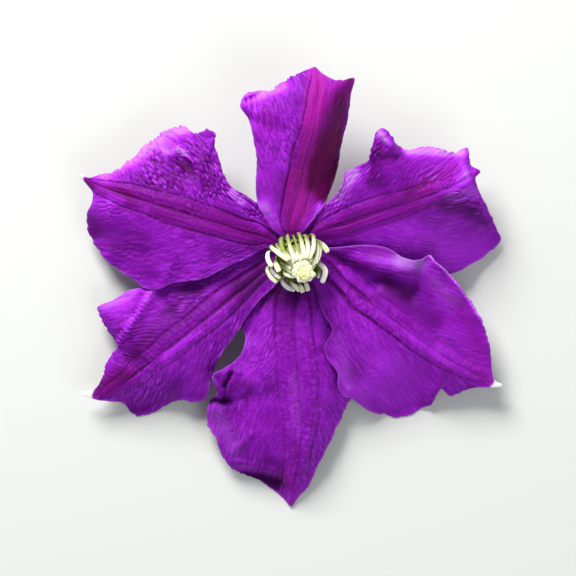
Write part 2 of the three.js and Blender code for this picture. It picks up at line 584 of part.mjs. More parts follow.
let stamens = solidOf(collarGeometry());
WHORLS.forEach((whorl, seed) => {
  for (let i = 0; i < whorl.count; i++) stamens = stamens.add(solidOf(whorlStamen(whorl, seed + 1, i)));
});
for (const places of OUTER_STAMENS) stamens = stamens.add(solidOf(outerStamen(places)));
addMesh("stamens", geometryOf(stamens), CREAM, boss);

// Styles: a tuft on a short column, its tips turned outwards over the stamens. The side that the boss leans
// to stands higher, which turns the face of the tuft up.
const COLUMN = [[0, 1.4], [1.5, 1.4], [1.5, 5], [1.3, 7], [0, 7.6]];
const STYLE_RINGS = [
  { count: 5, root: 0.5, tip: 1.2, height: 15.4 },
  { count: 9, root: 1.05, tip: 3.2, height: 14.8 },
];
const STYLE_RISE = 0.35; // how far a tip is raised for each millimetre that it stands out on that side
const STYLE_HALF_WIDTHS = [0.44, 0.44, 0.5, 0.85, 0.6];
const STYLE_HALF_THICKNESSES = [0.44, 0.44, 0.46, 0.6, 0.44];

function styleGeometry(ring, number) {
  const angle = ((2 * Math.PI) / ring.count) * number + 0.2 * draw(ring.count * 30 + number);
  const height = ring.height + 0.3 * draw(ring.count * 60 + number);
  const rise = STYLE_RISE * ring.tip * Math.cos(angle - LEAN_TOWARDS);
  const points = [
    inBoss(ring.root, angle, 5),
    inBoss(ring.root * 1.1, angle, 9),
    inBoss(ring.root * 1.4, angle, height - 2.2 + 0.5 * rise),
    inBoss(0.6 * ring.tip + 0.3 * ring.root, angle, height - 0.5 + 0.8 * rise),
    inBoss(ring.tip, angle, height - 0.25 * ring.tip + 0.5 + rise),
  ];
  const flat = new THREE.Vector3(-Math.sin(angle), Math.cos(angle), 0);
  return strandGeometry(points, STYLE_HALF_WIDTHS, STYLE_HALF_THICKNESSES, 4, flat);
}

const column = COLUMN.map(([radius, height]) => new THREE.Vector2(radius, height));
let styles = solidOf(new THREE.LatheGeometry(column, 12).rotateX(Math.PI / 2));
for (const ring of STYLE_RINGS)
  for (let i = 0; i < ring.count; i++) styles = styles.add(solidOf(styleGeometry(ring, i)));
addMesh("styles", geometryOf(styles), YELLOW, boss);

export default flower;
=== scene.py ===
# A large-flowered clematis bloom, as picked: six broad violet sepals, a boss of cream stamens round a tuft of
# styles, and a short stalk. Lengths are in millimetres and turned into metres where a mesh is made.
import math

import bpy
import numpy as np
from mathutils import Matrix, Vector


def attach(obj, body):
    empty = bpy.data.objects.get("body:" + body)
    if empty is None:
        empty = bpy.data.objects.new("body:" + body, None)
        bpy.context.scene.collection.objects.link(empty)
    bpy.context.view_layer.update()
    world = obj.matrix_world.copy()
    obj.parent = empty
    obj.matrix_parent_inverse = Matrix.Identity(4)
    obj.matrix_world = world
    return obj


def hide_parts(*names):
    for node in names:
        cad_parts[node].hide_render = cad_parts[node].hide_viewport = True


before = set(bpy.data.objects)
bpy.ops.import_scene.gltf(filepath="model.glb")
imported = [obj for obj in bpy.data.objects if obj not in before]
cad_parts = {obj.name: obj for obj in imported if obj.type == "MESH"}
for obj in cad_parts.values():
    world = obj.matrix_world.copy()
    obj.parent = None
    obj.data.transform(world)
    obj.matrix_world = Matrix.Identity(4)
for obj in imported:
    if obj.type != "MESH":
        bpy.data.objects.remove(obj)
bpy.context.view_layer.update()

MM = 0.001

# Driving dimensions, shared with the solids
FLOWER_AXIS = np.array([0.8, 11.3, 0.0])  # where the sepals meet, seen from above
FOOT_HEIGHT = 14.0
LEAN = math.radians(31)
LEAN_TOWARDS = math.radians(-67)
RING_RADIUS = 4.2
FOOT_SPREAD = 24.0
TIP_HALF_WIDTH = 0.45
BAR_HALF_WIDTH = 4.3
BAR_COLUMNS = 0.3  # the share of a half's columns that the bar takes
BAR_WIDEST_SHARE = 0.45
RIB_HEIGHT = 0.35
FRILL_HEIGHT = 0.45
FRILL_WAVES = 9
CALM_REACH = 9.0
CROWN_KNOTS = [0, 0.2, 0.4, 0.6, 0.8, 1]
ACROSS_KNOTS = [-1, -0.5, 0, 0.5, 1]

# Dimensions of the finer pieces
SEPAL_THICKNESS = 0.45
RIM_ROUNDING = 0.3
ROW_COUNT = 236
COLUMN_COUNT = 60
HALVES_APART = 100  # keeps the pattern of one half from showing up in the other
SIDE_VEIN_BEND = 0.02
PUCKER_WIDTH = 1.6
PUCKER_START = 1.5  # how far past the bar the puckers have their full height
FURROW_REACH = 22.0
VEIN_WIDTH = 0.26
VEIN_DEPTH = 0.3
FAINT_VEINS = [0.36, 0.68]  # their places, as shares of the bar's half width
FAINT_VEIN_WIDTH = 0.2
BAR_FADE = 9.0
BEAD_PITCH = 1.3
TOOTH_REACH = 0.9
WAVE_REACH = 2.2
CLEARANCE = 0.05  # about the least height of the underside over the surface
CLEARANCE_EASE = 0.25

CENTRE = np.array([0.0, 0.0, FOOT_HEIGHT])
AXIS = np.array([
    math.sin(LEAN) * math.cos(LEAN_TOWARDS),
    math.sin(LEAN) * math.sin(LEAN_TOWARDS),
    math.cos(LEAN),
])
BOSS_TURN = np.array(Vector((0, 0, 1)).rotation_difference(Vector(AXIS)).to_matrix())
HASH_SIZE = 43758.5453  # spreads a sine's digits, so that those past the point look drawn at random
SCATTER = 0.4  # how far the places of cells lie off the middles of a unit grid's squares
FAR = 9.0


def unit(vectors):
    """Vectors scaled to length 1."""
    return vectors / np.maximum(np.linalg.norm(vectors, axis=-1, keepdims=True), 1e-9)


def share(values):
    """Values held between 0 and 1."""
    return np.clip(values, 0, 1)


def bell(distance, width):
    """1 at no distance, falling away smoothly within a few widths."""
    return np.exp(-((distance / width) ** 2))


def from_boss(points):
    """Points of the boss's own frame, with +Z up the flower's axis, in the flower's frame."""
    return np.asarray(points) @ BOSS_TURN.T + CENTRE


def in_boss(radius, angle, height):
    """A point in the boss's frame at a radius, an angle and a height."""
    return np.array([radius * math.cos(angle), radius * math.sin(angle), height])


def around_axis(radius, degrees, height):
    """A point given round the flower's axis: radius, angle and height up the axis."""
    return from_boss(in_boss(radius, math.radians(degrees), height))


def smooth_weights(knots, at):
    """How much each knot's value counts at each place, on a cubic with three-point slopes."""
    knots = np.asarray(knots, float)
    at = np.asarray(at, float)
    count = len(knots)
    gaps = np.diff(knots)
    rises = (np.eye(count)[1:] - np.eye(count)[:-1]) / gaps[:, None]
    inner = rises[:-1] * gaps[1:, None] + rises[1:] * gaps[:-1, None]
    slopes = np.vstack([rises[:1], inner / (gaps[:-1] + gaps[1:])[:, None], rises[-1:]])
    k = np.clip(np.searchsorted(knots, at) - 1, 0, count - 2)
    span = gaps[k][..., None]
    t = share((at - knots[k]) / gaps[k])[..., None]
    values = np.eye(count)
    return (
        (2 * t**3 - 3 * t**2 + 1) * values[k]
        + (t**3 - 2 * t**2 + t) * span * slopes[k]
        + (3 * t**2 - 2 * t**3) * values[k + 1]
        + (t**3 - t**2) * span * slopes[k + 1]
    )


def smooth(knots, values, at):
    """A smooth curve through values at knots."""
    return smooth_weights(knots, at) @ np.asarray(values, float)


def rail(points, u):
    """Places on a smooth line through [x, y, z] points, run through from 0 to 1 by length seen from above."""
    points = np.asarray(points, float)
    steps = np.linalg.norm(np.diff(points[:, :2], axis=0), axis=1)
    knots = np.concatenate([[0], np.cumsum(steps)])
    return smooth(knots, points, np.asarray(u) * knots[-1])


def lattice(i, j, seed):
    """A repeatable value from -1 to 1 for each pair of whole numbers."""
    value = np.sin(i * 127.1 + j * 311.7 + seed * 74.7) * HASH_SIZE
    return 2 * (value - np.floor(value)) - 1


def noise(x, y, seed):
    """Smooth noise from -1 to 1 over a plane."""
    i = np.floor(x)
    j = np.floor(y)
    a = (x - i) ** 2 * (3 - 2 * (x - i))
    b = (y - j) ** 2 * (3 - 2 * (y - j))
    low = lattice(i, j, seed) * (1 - a) + lattice(i + 1, j, seed) * a
    high = lattice(i, j + 1, seed) * (1 - a) + lattice(i + 1, j + 1, seed) * a
    return low * (1 - b) + high * b


def cells(x, y, seed):
    """How far points of a plane lie from the nearest and from the second nearest of scattered places, and a
    value from -1 to 1 that belongs to the nearest one."""
    i = np.floor(x)
    j = np.floor(y)
    first = np.full(x.shape, FAR)
    second = first
    value = np.zeros(x.shape)
    for di in (-1, 0, 1):
        for dj in (-1, 0, 1):
            place_x = i + di + 0.5 + SCATTER * lattice(i + di, j + dj, seed)
            place_y = j + dj + 0.5 + SCATTER * lattice(i + di, j + dj, seed + 50)
            away = np.hypot(place_x - x, place_y - y)
            value = np.where(away < first, lattice(i + di, j + dj, seed + 90), value)
            second = np.minimum(second, np.maximum(first, away))
            first = np.minimum(first, away)
    return first, second, value


def put(name, data):
    """An object of the scene that shows a mesh, a light or a camera."""
    made = bpy.data.objects.new(name, data)
    bpy.context.scene.collection.objects.link(made)
    return made


def add_piece(name, node, points, faces, material, layers):
    """A mesh piece that stands for a node of the solids, from points in the flower's frame."""
    mesh = bpy.data.meshes.new(name)
    mesh.from_pydata(((points + FLOWER_AXIS) * MM).tolist(), [], [list(face) for face in faces])
    mesh.shade_smooth()
    for key, values in layers.items():
        layer = mesh.attributes.new(key, "FLOAT_VECTOR", "POINT")
        layer.data.foreach_set("vector", np.asarray(values, np.float32).ravel())
    mesh.materials.append(material)
    piece = put(name, mesh)
    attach(piece, "root")
    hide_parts(node)


# Sepals: the same rails, crowns and folds as the solids have, with creases, puckers, toothed margins and
# veins added. Rails have [x, y, z] points from foot to tip, and crowns are rises at equal steps along the
# sepal. A mark is (x, y, x, y, width, strength), a soft band along the line from one point to another, seen
# from above. In folds, creases and rows of beads the strength is the rise, and bumpy marks add to the
# puckers. Marks of painted light and shade make the colour paler where light falls, and deeper where shade
# falls with a negative strength. Warm marks turn the colour magenta, maroon marks paint a reddish shade where
# shade is deepest, and sheen marks paint a pale greyish sheen where light catches. Of a pair of values the
# first is for the clockwise half and the second for the anticlockwise one.
# Veins have the strength of the bar's clockwise edge, its middle and its anticlockwise edge.
PLAIN_SEPAL = {
    "bar_width": BAR_HALF_WIDTH,
    "calm_foot": 10,  # how far from the foot its wrinkles begin
    "vein_fade": 6,  # how far from the tip its veins begin to fade
    "mucro": -1,  # how long the pale point at its tip is, below 0 where it has none
    "folds": [],
    "creases": [],
    "bumpy": [],
    "beads": [],
    # painted light and shade: paler where light falls, deeper where shade falls
    "lit_and_shaded": [],
    "warm": [],
    # painted shade: a reddish maroon where shade is deepest
    "maroon_shade": [],
    # painted sheen: a pale greyish lilac where light catches
    "painted_sheen": [],
}
SEPAL_TOP = {
    "name": "sepal_top", "foot": 98,
    "midrib": [
        [-1.2, 6, 17], [0.6, 15, 19.5], [2.7, 24, 23], [5.1, 33, 26.5], [6.6, 42, 28], [7.5, 49.5, 25.5],
        [6, 54.6, 20],
    ],
    "ccw": [
        [-6.3, 6, 17.8], [-9.6, 10.8, 19.8], [-11.1, 14.1, 20.8], [-11.4, 19.5, 22.5], [-11.1, 27, 24.5],
        [-12, 32.4, 25.5], [-13.5, 38.4, 25.5], [-15.9, 43.5, 25.5], [-15, 45.9, 24.5],
        [-12.6, 47.1, 23.5], [-6.6, 47.7, 24], [-4.2, 49.5, 23.5], [-1.2, 51.6, 22.5], [2.4, 53.1, 21],
    ],
    "cw": [
        [3.6, 6.3, 16.8], [6, 9.3, 17.2], [9.3, 13.5, 17.2], [11.1, 18, 15.6], [12.6, 22.5, 14.6],
        [13.8, 28.5, 14.8], [15, 35.5, 16.4], [16.2, 42, 19.2], [17.1, 46.5, 21.4], [18, 51.3, 22.5],
        [13.8, 50.4, 23.5], [10.8, 51.3, 23], [8.4, 52.8, 21.5],
    ],
    "crown_ccw": [0, 0, 0.8, 1.2, 1, 0.5], "crown_cw": [0, 0, 1, 1.5, 1.2, 0.3], "bar_tint": 0.75,
    "bar_end": -9, "veins": [0.3, 0.4, 0.75], "side_slope": 1.1, "furrow": 0.25, "puckers": [0.12, 0.3],
    "pucker_length": 2.2, "wrinkles": [0.0, 0.14], "wrinkle_spacing": 2.0,
    "creases": [(-14.6, 44.5, -11.4, 45.8, 0.7, -0.8)],
    "lit_and_shaded": [
        (-14.4, 44.6, -11.8, 45.7, 0.6, -0.9), (-14.5, 45, -3, 48.5, 2.6, 0.75),
        (-5, 7.5, -9, 12.5, 2.8, 0.52), (-9, 16, -8, 40, 5, 0.3), (-3.4, 25, -2.8, 34, 1.8, 0.35),
        (-11.6, 36.6, -8.6, 40, 1.8, -0.3), (-7, 38, -6, 42, 2.5, -0.22), (-13, 37, -11.5, 41, 1.5, 0.3),
        (5.5, 7, 7.5, 13, 1.6, 0.6), (12.5, 40, 16, 50, 4, -0.4), (2, 50, -0.5, 42, 3, -0.35),
    ],
    "warm": [
        (-8, 20, -9, 43, 5, 0.3), (12.5, 42, 16, 50, 4, 0.7), (3.5, 12, 5, 17, 3, 0.5),
        (-0.5, 8, 1.5, 20, 4, 0.7), (1.6, 20, 5.5, 38, 3, 0.6), (6, 40, 7.5, 52, 3.6, 0.75),
    ],
    "maroon_shade": [
        (9.3, 21, 10.3, 31, 4.4, 1), (8.4, 15, 12.8, 44, 3.8, 0.5), (13.4, 37, 16, 50, 3.4, 0.4),
        (-4, 15, -2.6, 21, 1.6, 0.4), (6, 10, 8.4, 15, 1.8, 0.4), (4.2, 19, 5.4, 26, 2, 0.5),
        (0.2, 19, 1.4, 25, 1.8, 0.45),
    ],
}
SEPAL_UPPER_LEFT = {
    "name": "sepal_upper_left", "foot": 158,
    "midrib": [
        [-7.6, 3.4, 16], [-16.2, 6, 17.5], [-25.2, 8.4, 18.5], [-34.2, 11.4, 18.5], [-43.2, 14.1, 17.5],
        [-52.2, 17.1, 15], [-58.8, 19.8, 12.5], [-64.2, 22.5, 11],
    ],
    "ccw": [
        [-8.4, 0.6, 15.5], [-13.2, -2.1, 15.6], [-19.2, -4.5, 15.8], [-26.7, -8.4, 15.6],
        [-31.8, -9.3, 15.2], [-37.2, -10.2, 14.2], [-41.1, -12, 13], [-45, -11.4, 11.5], [-48.3, -9, 9.5],
        [-52.8, -6, 7.5], [-56.7, -3, 6], [-59.7, 1.2, 5], [-62.1, 6, 5], [-62.4, 10.2, 6],
        [-60.9, 13.8, 8], [-60.3, 16.8, 9.5], [-62.1, 19.5, 10.3],
    ],
    "cw": [
        [-4.9, 6.4, 15.4], [-8.7, 11.4, 16.6], [-11, 14.2, 17.8], [-14.4, 16.4, 18.6], [-18.6, 18.9, 19],
        [-21, 22.8, 18], [-22.8, 28.5, 17], [-24, 32.4, 16.5], [-23.7, 35.4, 16.5], [-25.8, 36, 15.5],
        [-29.7, 35.1, 14], [-33.3, 37.2, 12.5], [-37.8, 36.3, 11.5], [-43.2, 32.7, 10.5],
        [-49.8, 26.7, 10.5], [-54.6, 23.4, 10.5], [-58.8, 22.5, 11], [-62.1, 21.6, 11],
    ],
    "crown_ccw": [0, 0.3, 1, 1.5, 1.5, 0.5], "crown_cw": [0, -0.5, 0.5, 1.5, 1.5, 0.5], "bar_tint": 0.7,
    "bar_end": -9, "veins": [0.95, 0.7, 0.8], "side_slope": 0.9, "furrow": 0.15, "puckers": [0.5, 0.2],
    "pucker_length": 1.7, "wrinkles": [0.26, 0.0], "wrinkle_spacing": 2.0, "mucro": 1.2,
    "folds": [(-34.1, 27.4, -31.1, 24.9, 3, -1.8), (-32.1, 34.4, -28.1, 26.4, 1.6, 1.2)],
    "creases": [
        (-35, 30.6, -28, 24, 0.8, 0.8), (-34.6, 26.6, -31, 24, 1.8, -1),
        (-28.5, 28.6, -26.5, 26.8, 1.4, -0.8),
    ],
    "bumpy": [(-55, 15, -32, 11, 2.2, 0.2)],
    "lit_and_shaded": [
        (-57, 24.5, -34, 36.5, 4.6, 0.95), (-37, 27.5, -27, 21, 4.6, -0.45),
        (-34.8, 26.5, -31, 24, 2, -0.45), (-29, 28.5, -25, 27, 2, -0.36), (-35, 30.6, -28, 24, 0.7, 0.4),
        (-61, 9, -46, 3, 6, -0.45), (-47, -9, -52, -4, 5, -0.2), (-30, -6, -12, -1.5, 1.2, 0.3),
        (-46.4, 20, -36, 19.2, 3, -0.36), (-60, 14.5, -56, 12.5, 3, 0.6), (-38, 29, -30.5, 29, 2, 0.8),
        (-38, 33.6, -34, 33.4, 1.6, -0.2), (-18.8, 17.4, -15.6, 14.4, 1.8, 0.8),
        (-21.6, 11.6, -16.6, 10.6, 1.6, -0.45), (-55, 15.4, -51.6, 14.6, 1.8, 0.35),
        (-44, -6, -41, -7, 1.8, -0.3), (-48, 11, -44.4, 11.8, 1.6, 0.3), (-30, 4, -25, 4.2, 2, -0.26),
        (-60.8, 8.8, -60, 6, 2, -0.2), (-11.4, 9.4, -9.2, 6.8, 1.6, 0.4), (-24, 0, -12, 0, 3, -0.42),
    ],
    "warm": [(-61, 20.5, -52, 17, 2, 0.15)],
    "maroon_shade": [(-60, 20.5, -50, 16.5, 3, 0.65), (-8, 4.6, -22, 7.4, 2.6, 0.45)],
}
SEPAL_LOWER_LEFT = {
    "name": "sepal_lower_left", "foot": 218,
    "midrib": [
        [-7.2, -5.1, 13], [-16.2, -12.3, 13.8], [-26.7, -21, 14.5], [-37.2, -29.1, 13.5],
        [-46.2, -36, 11], [-54.6, -42, 7.5], [-59.7, -44.1, 6], [-63.6, -43.2, 6],
    ],
    "ccw": [
        [-5.4, -10.2, 12.6], [-9.6, -14.4, 12.8], [-13.8, -19.8, 12.6], [-16.2, -23.4, 12.2],
        [-19.8, -28.2, 11.5], [-22.8, -33, 10.5], [-24.9, -38.1, 9], [-27, -45, 6], [-29.1, -45.9, 5.5],
        [-33.3, -45.3, 5], [-38.7, -47.1, 1.4], [-43.2, -49.2, -1.8], [-47.4, -50.1, -2.6],
        [-49.8, -48.3, -1.4], [-51.3, -46.2, 2], [-55.2, -45.6, 4.5], [-58.8, -45.3, 5.5],
    ],
    "cw": [
        [-7.8, 1.4, 13.1], [-13.8, -0.6, 13], [-22.8, -3.6, 12.4], [-31.5, -6, 11.4], [-38.4, -8.1, 10.4],
        [-42.3, -10.2, 9.5], [-45.3, -11.1, 8.5], [-49.8, -12, 7.5], [-54.3, -15, 6.5],
        [-59.1, -17.1, 5.5], [-58.2, -20.4, 5], [-56.1, -24, 4.5], [-52.8, -27.6, 5], [-54.3, -30.6, 5.5],
        [-56.1, -33.6, 5.5], [-57.9, -38.7, 5.5], [-60.3, -42, 5.8],
    ],
    "crown_ccw": [0, 0.3, 0.8, 1, 1, 0.3], "crown_cw": [0, 0, 0, 1, 1.5, 0.5], "bar_tint": 0.1,
    "bar_end": 4, "veins": [0.75, 0.65, 0.45], "side_slope": 0.9, "furrow": 0.8, "puckers": [0.22, 0.22],
    "pucker_length": 2.2, "wrinkles": [0.42, 0.1], "wrinkle_spacing": 1.6, "calm_foot": 36, "mucro": 2.7,
    "folds": [(-43.2, -13.2, -50.6, -23.6, 2.6, 2)],
    "creases": [(-42.6, -12.2, -54.4, -30, 0.7, 0.5)],
    "bumpy": [(-43, -37, -34, -30, 3, 0.15), (-44, -13.5, -55, -31, 1.4, 0.4)],
    "beads": [(-42.6, -12.2, -52.5, -27.6, 1, 0.5), (-53, -28.4, -59.4, -40.2, 0.9, 0.4)],
    "lit_and_shaded": [
        (-58, -17, -47, -12.5, 3.4, 0.66), (-42.4, -12, -54, -30.4, 1.2, 0.4),
        (-45.8, -12.8, -47.4, -15.2, 1.2, -0.35), (-39.4, -14, -34.6, -9.8, 1.8, 0.35),
        (-47.6, -31, -45, -33, 2, -0.35), (-44, -38.6, -41, -39.4, 2, 0.35),
        (-36, -13, -52, -34, 3.5, -0.33), (-14, -10, -38, -29, 5, -0.2), (-59, -41, -52, -38, 3, -0.55),
        (-18, -7, -34, -11, 2.5, -0.4), (-48, -47, -34, -40, 3.5, -0.38), (-8, -5, -17, -10.6, 3.6, -0.6),
        (-23, -11, -15, -5.4, 2, 0.42), (-47, -31.6, -27, -14.6, 3.4, -0.35),
        (-27, -22.6, -20, -19, 2, -0.3), (-37, -18, -30, -12.6, 2.2, -0.3),
        (-18, -18.6, -10, -9.6, 2, -0.38), (-41, -35.6, -36, -34, 2, 0.35),
        (-39, -32, -21, -19.2, 1.6, 0.55), (-46.5, -43.5, -44, -41, 3, 0.18),
    ],
    "warm": [(-61, -43, -49, -37, 3, 0.5)],
    "maroon_shade": [(-59, -42, -51, -37, 3, 0.6), (-8, -4, -22, -15, 2.5, 0.4)],
}
SEPAL_BOTTOM = {
    "name": "sepal_bottom", "foot": 278,
    "midrib": [
        [0.3, -10.2, 11.5], [0, -18, 12.2], [0.6, -28.5, 13.2], [1.5, -40.5, 13], [2.1, -51, 11.5],
        [1.8, -61.5, 8.5], [0.3, -70.5, 4.5], [-0.9, -77.4, 0.5],
    ],
    "ccw": [
        [5.7, -9, 11], [9.3, -15, 10], [12.6, -22.5, 9], [15.3, -30, 8], [17.1, -37.5, 7],
        [17.4, -44.1, 5], [15.3, -48.3, 4.5], [12.6, -54, 5], [10.2, -59.1, 5], [7.8, -64.2, 4.5],
        [5.7, -68.4, 3], [4.2, -71.7, 1.5], [1.8, -74.1, 0.5], [0.3, -76.2, 0.3],
    ],
    "cw": [
        [-6.3, -9.3, 10.8], [-11.1, -13.8, 10.3], [-14.7, -18.3, 10], [-16.2, -21.6, 10],
        [-14.7, -26.1, 11], [-15, -29.4, 12], [-17.1, -32.7, 12.5], [-21, -35.4, 13], [-24.6, -37.8, 13],
        [-24, -40.5, 11.5], [-23.1, -43.2, 8], [-25.5, -45.3, 5], [-26.4, -48.9, 5], [-25.8, -53.1, 5],
        [-23.7, -56.4, 5.5], [-22.5, -60, 5.5], [-20.4, -64.2, 4], [-16.2, -67.5, 0.5], [-11.4, -69, -1],
        [-7.8, -71.1, -1], [-4.5, -73.5, -0.3], [-2.4, -75.9, 0.2],
    ],
    "crown_ccw": [0, 0.5, 1, 1.5, 1, 0.3], "crown_cw": [0, 0.3, 0, 0.5, 1, 0.5], "bar_width": 6.0,
    "bar_tint": 0.03, "bar_end": 4, "veins": [0.55, 0.55, 0.55], "side_slope": 1.2, "furrow": 0.7,
    "puckers": [0.2, 0.2], "pucker_length": 1.6, "wrinkles": [0.0, 0.08], "wrinkle_spacing": 1.8,
    "creases": [
        (-18.9, -37, -21.1, -40.6, 0.9, -1.8), (-24.6, -38.4, -21.6, -41.8, 0.5, 0.5),
        (-26, -45, -20, -45.2, 1.2, -1.5), (-20, -45.2, -13, -42, 1.6, -0.8),
        (-17, -66.6, -5, -69.4, 1.6, -1.4), (-18, -63.8, -6, -66.4, 1.1, 0.8),
        (-18.5, -61, -13, -55.5, 1.1, 0.8),
    ],
    "bumpy": [(-20, -48, -12, -60, 5, 0.07)],
    "lit_and_shaded": [
        (-18.9, -37, -21.1, -40.6, 0.9, -0.95), (-24.8, -38.4, -21.6, -41.8, 0.6, 0.45),
        (-26, -45, -20.5, -45.2, 1.1, -0.85), (-18.4, -45.6, -15.8, -42, 1.8, 0.4),
        (8, -13.6, 7.6, -27, 2.4, 0.45), (-7.6, -63, -4.4, -65, 2, -0.3),
        (-15, -68.2, -5, -70.6, 1.7, -0.95), (-9, -68, -3, -70, 2.6, -0.4), (-9, -12, 1, -11.6, 5, -0.72),
        (-3, -16, -3, -22, 4, -0.3), (-25, -50, -19, -48, 3, -0.3), (-2, -32, -8, -58, 9, -0.27),
        (-13, -37.5, -10.5, -41, 3, 0.45), (-23, -52, -19, -56, 3.5, -0.2), (-1, -38, 0, -54, 2.6, 0.3),
    ],
    "warm": [(-3, -66, 0, -77, 3, 0.3)],
    "painted_sheen": [(-23, -50, -18, -60, 4, 0.24), (0, -38, 1, -52, 2.2, 0.18)],
}
SEPAL_LOWER_RIGHT = {
    "name": "sepal_lower_right", "foot": 338,
    "midrib": [
        [7.8, -3, 12.6], [16.8, -10.8, 13.2], [27.3, -19.2, 14], [37.8, -27, 13.5], [46.8, -33.3, 11.5],
        [54.3, -37.2, 9], [59.1, -39.3, 7.5], [62.7, -40.8, 7],
    ],
    "ccw": [
        [8.4, 0.6, 14.3], [13.8, 0.9, 15.5], [19.8, 1.5, 16.3], [25.8, 1.2, 16.6], [29.4, 0, 16.8],
        [32.4, -2.1, 17], [35.4, -3, 17], [38.4, -2.7, 16.8], [40.8, -1.5, 16.2], [42.3, -3.3, 15.8],
        [45.6, -6, 15], [48.9, -9.6, 13.5], [51.9, -13.5, 12], [54.6, -17.7, 10.5], [57, -22.2, 9.5],
        [58.5, -27, 8.5], [59.4, -32.4, 8], [59.7, -36.6, 7.5], [60.6, -39.3, 7.3],
    ],
    "cw": [
        [5.7, -8.7, 12.6], [6.6, -12, 12.8], [7.8, -16.5, 13.2], [9, -19.8, 13.5], [11.1, -22.8, 13.8],
        [10.8, -26.4, 14], [9, -29.4, 14], [9.6, -31.8, 14], [13.2, -37.8, 12.5], [13.2, -41.4, 11.5],
        [14.7, -43.8, 9.5], [17.1, -44.7, 8], [19.8, -46.8, 6], [23.1, -48.6, 3.5], [27.3, -49.8, 0],
        [31.8, -50.4, -2.4], [35.7, -49.5, -2.4], [38.7, -47.7, 0], [41.1, -46.8, 2], [42.6, -43.8, 4],
        [44.4, -42, 5], [46.5, -43.8, 4], [49.5, -43.2, 4.5], [53.1, -41.7, 6], [58.8, -41.4, 7],
    ],
    "crown_ccw": [0, -0.6, -1, -0.4, 0.5, 0.3], "crown_cw": [0, 0.3, 0.6, 1, 1, 0.3], "bar_tint": 0.12,
    "bar_end": 4, "veins": [0.9, 0.7, 0.45], "vein_fade": 45, "side_slope": 1.8, "furrow": 1.0,
    "puckers": [0.19, 0.14], "pucker_length": 4.0, "wrinkles": [0.0, 0.1], "wrinkle_spacing": 1.5,
    "mucro": 2.6,
    "folds": [
        (20, -3.6, 34.5, -6.6, 2.6, 2.2), (14.5, -3.6, 24, -9.4, 2.2, -1.6),
        (24, -9.4, 35, -13.2, 2.8, -2.2),
    ],
    "creases": [
        (26, -11, 32, -12.6, 2, 0.4), (33, -12.8, 36.5, -13.6, 2.4, 0.6),
        (36, -13.6, 44, -19.6, 2.8, -0.7),
    ],
    "beads": [(42.3, -3.2, 48.9, -9.8, 0.5, 0.3), (48.9, -9.8, 56.8, -22.2, 0.5, 0.25)],
    "lit_and_shaded": [
        (28, -3, 39, -4.4, 2.6, 0.25), (11, -0.6, 18, -4, 1.8, -0.7), (20.5, -5.6, 28, -8.6, 2, -0.45),
        (29, -9.8, 34.5, -12.4, 2.8, -0.48), (33, -13.6, 43, -20, 4, -0.32),
        (18.4, -11.4, 25, -15.6, 2.2, -0.3), (37, -27.4, 42.6, -29.6, 2.4, 0.3),
        (14.2, -37.6, 16.2, -41, 1.6, 0.4), (51, -20, 54, -28, 4, -0.15),
        (28, -12.6, 42.4, -22.6, 3.2, -0.34), (20, 0.2, 24, 0.2, 1.8, -0.3),
        (14, -24, 18, -40, 3.4, -0.14), (44, -31, 52, -36, 3, 0.3), (28, -33, 40, -40, 5, 0.25),
        (9, -9, 13, -13, 2.5, -0.2), (14, -10.6, 35.4, -25.9, 1.1, 0.2),
        (42.5, -13.5, 51, -23.5, 1.6, 0.25), (14, -24, 26, -36, 6, 0.15), (18, -42, 34, -46, 5, 0.25),
        (40.8, -1.5, 48.9, -9.6, 0.6, 0.9), (48.9, -9.6, 57, -22.2, 0.6, 0.8),
        (16, -44, 24, -38, 4, 0.12),
    ],
    "warm": [(52, -34, 61, -39.5, 3, 0.35), (50, -18, 56, -30, 4, 0.25)],
    "maroon_shade": [(50, -16, 56, -31, 3.4, 0.35)],
    "painted_sheen": [
        (32.2, -3.2, 37.6, -4, 2.4, 0.72), (24, -2, 31, -3.2, 2.2, 0.25), (42, -9.6, 48, -15, 2.6, 0.22),
        (13, -26, 15, -36, 3, 0.16), (15, -38, 20, -46, 3.6, 0.14),
    ],
}
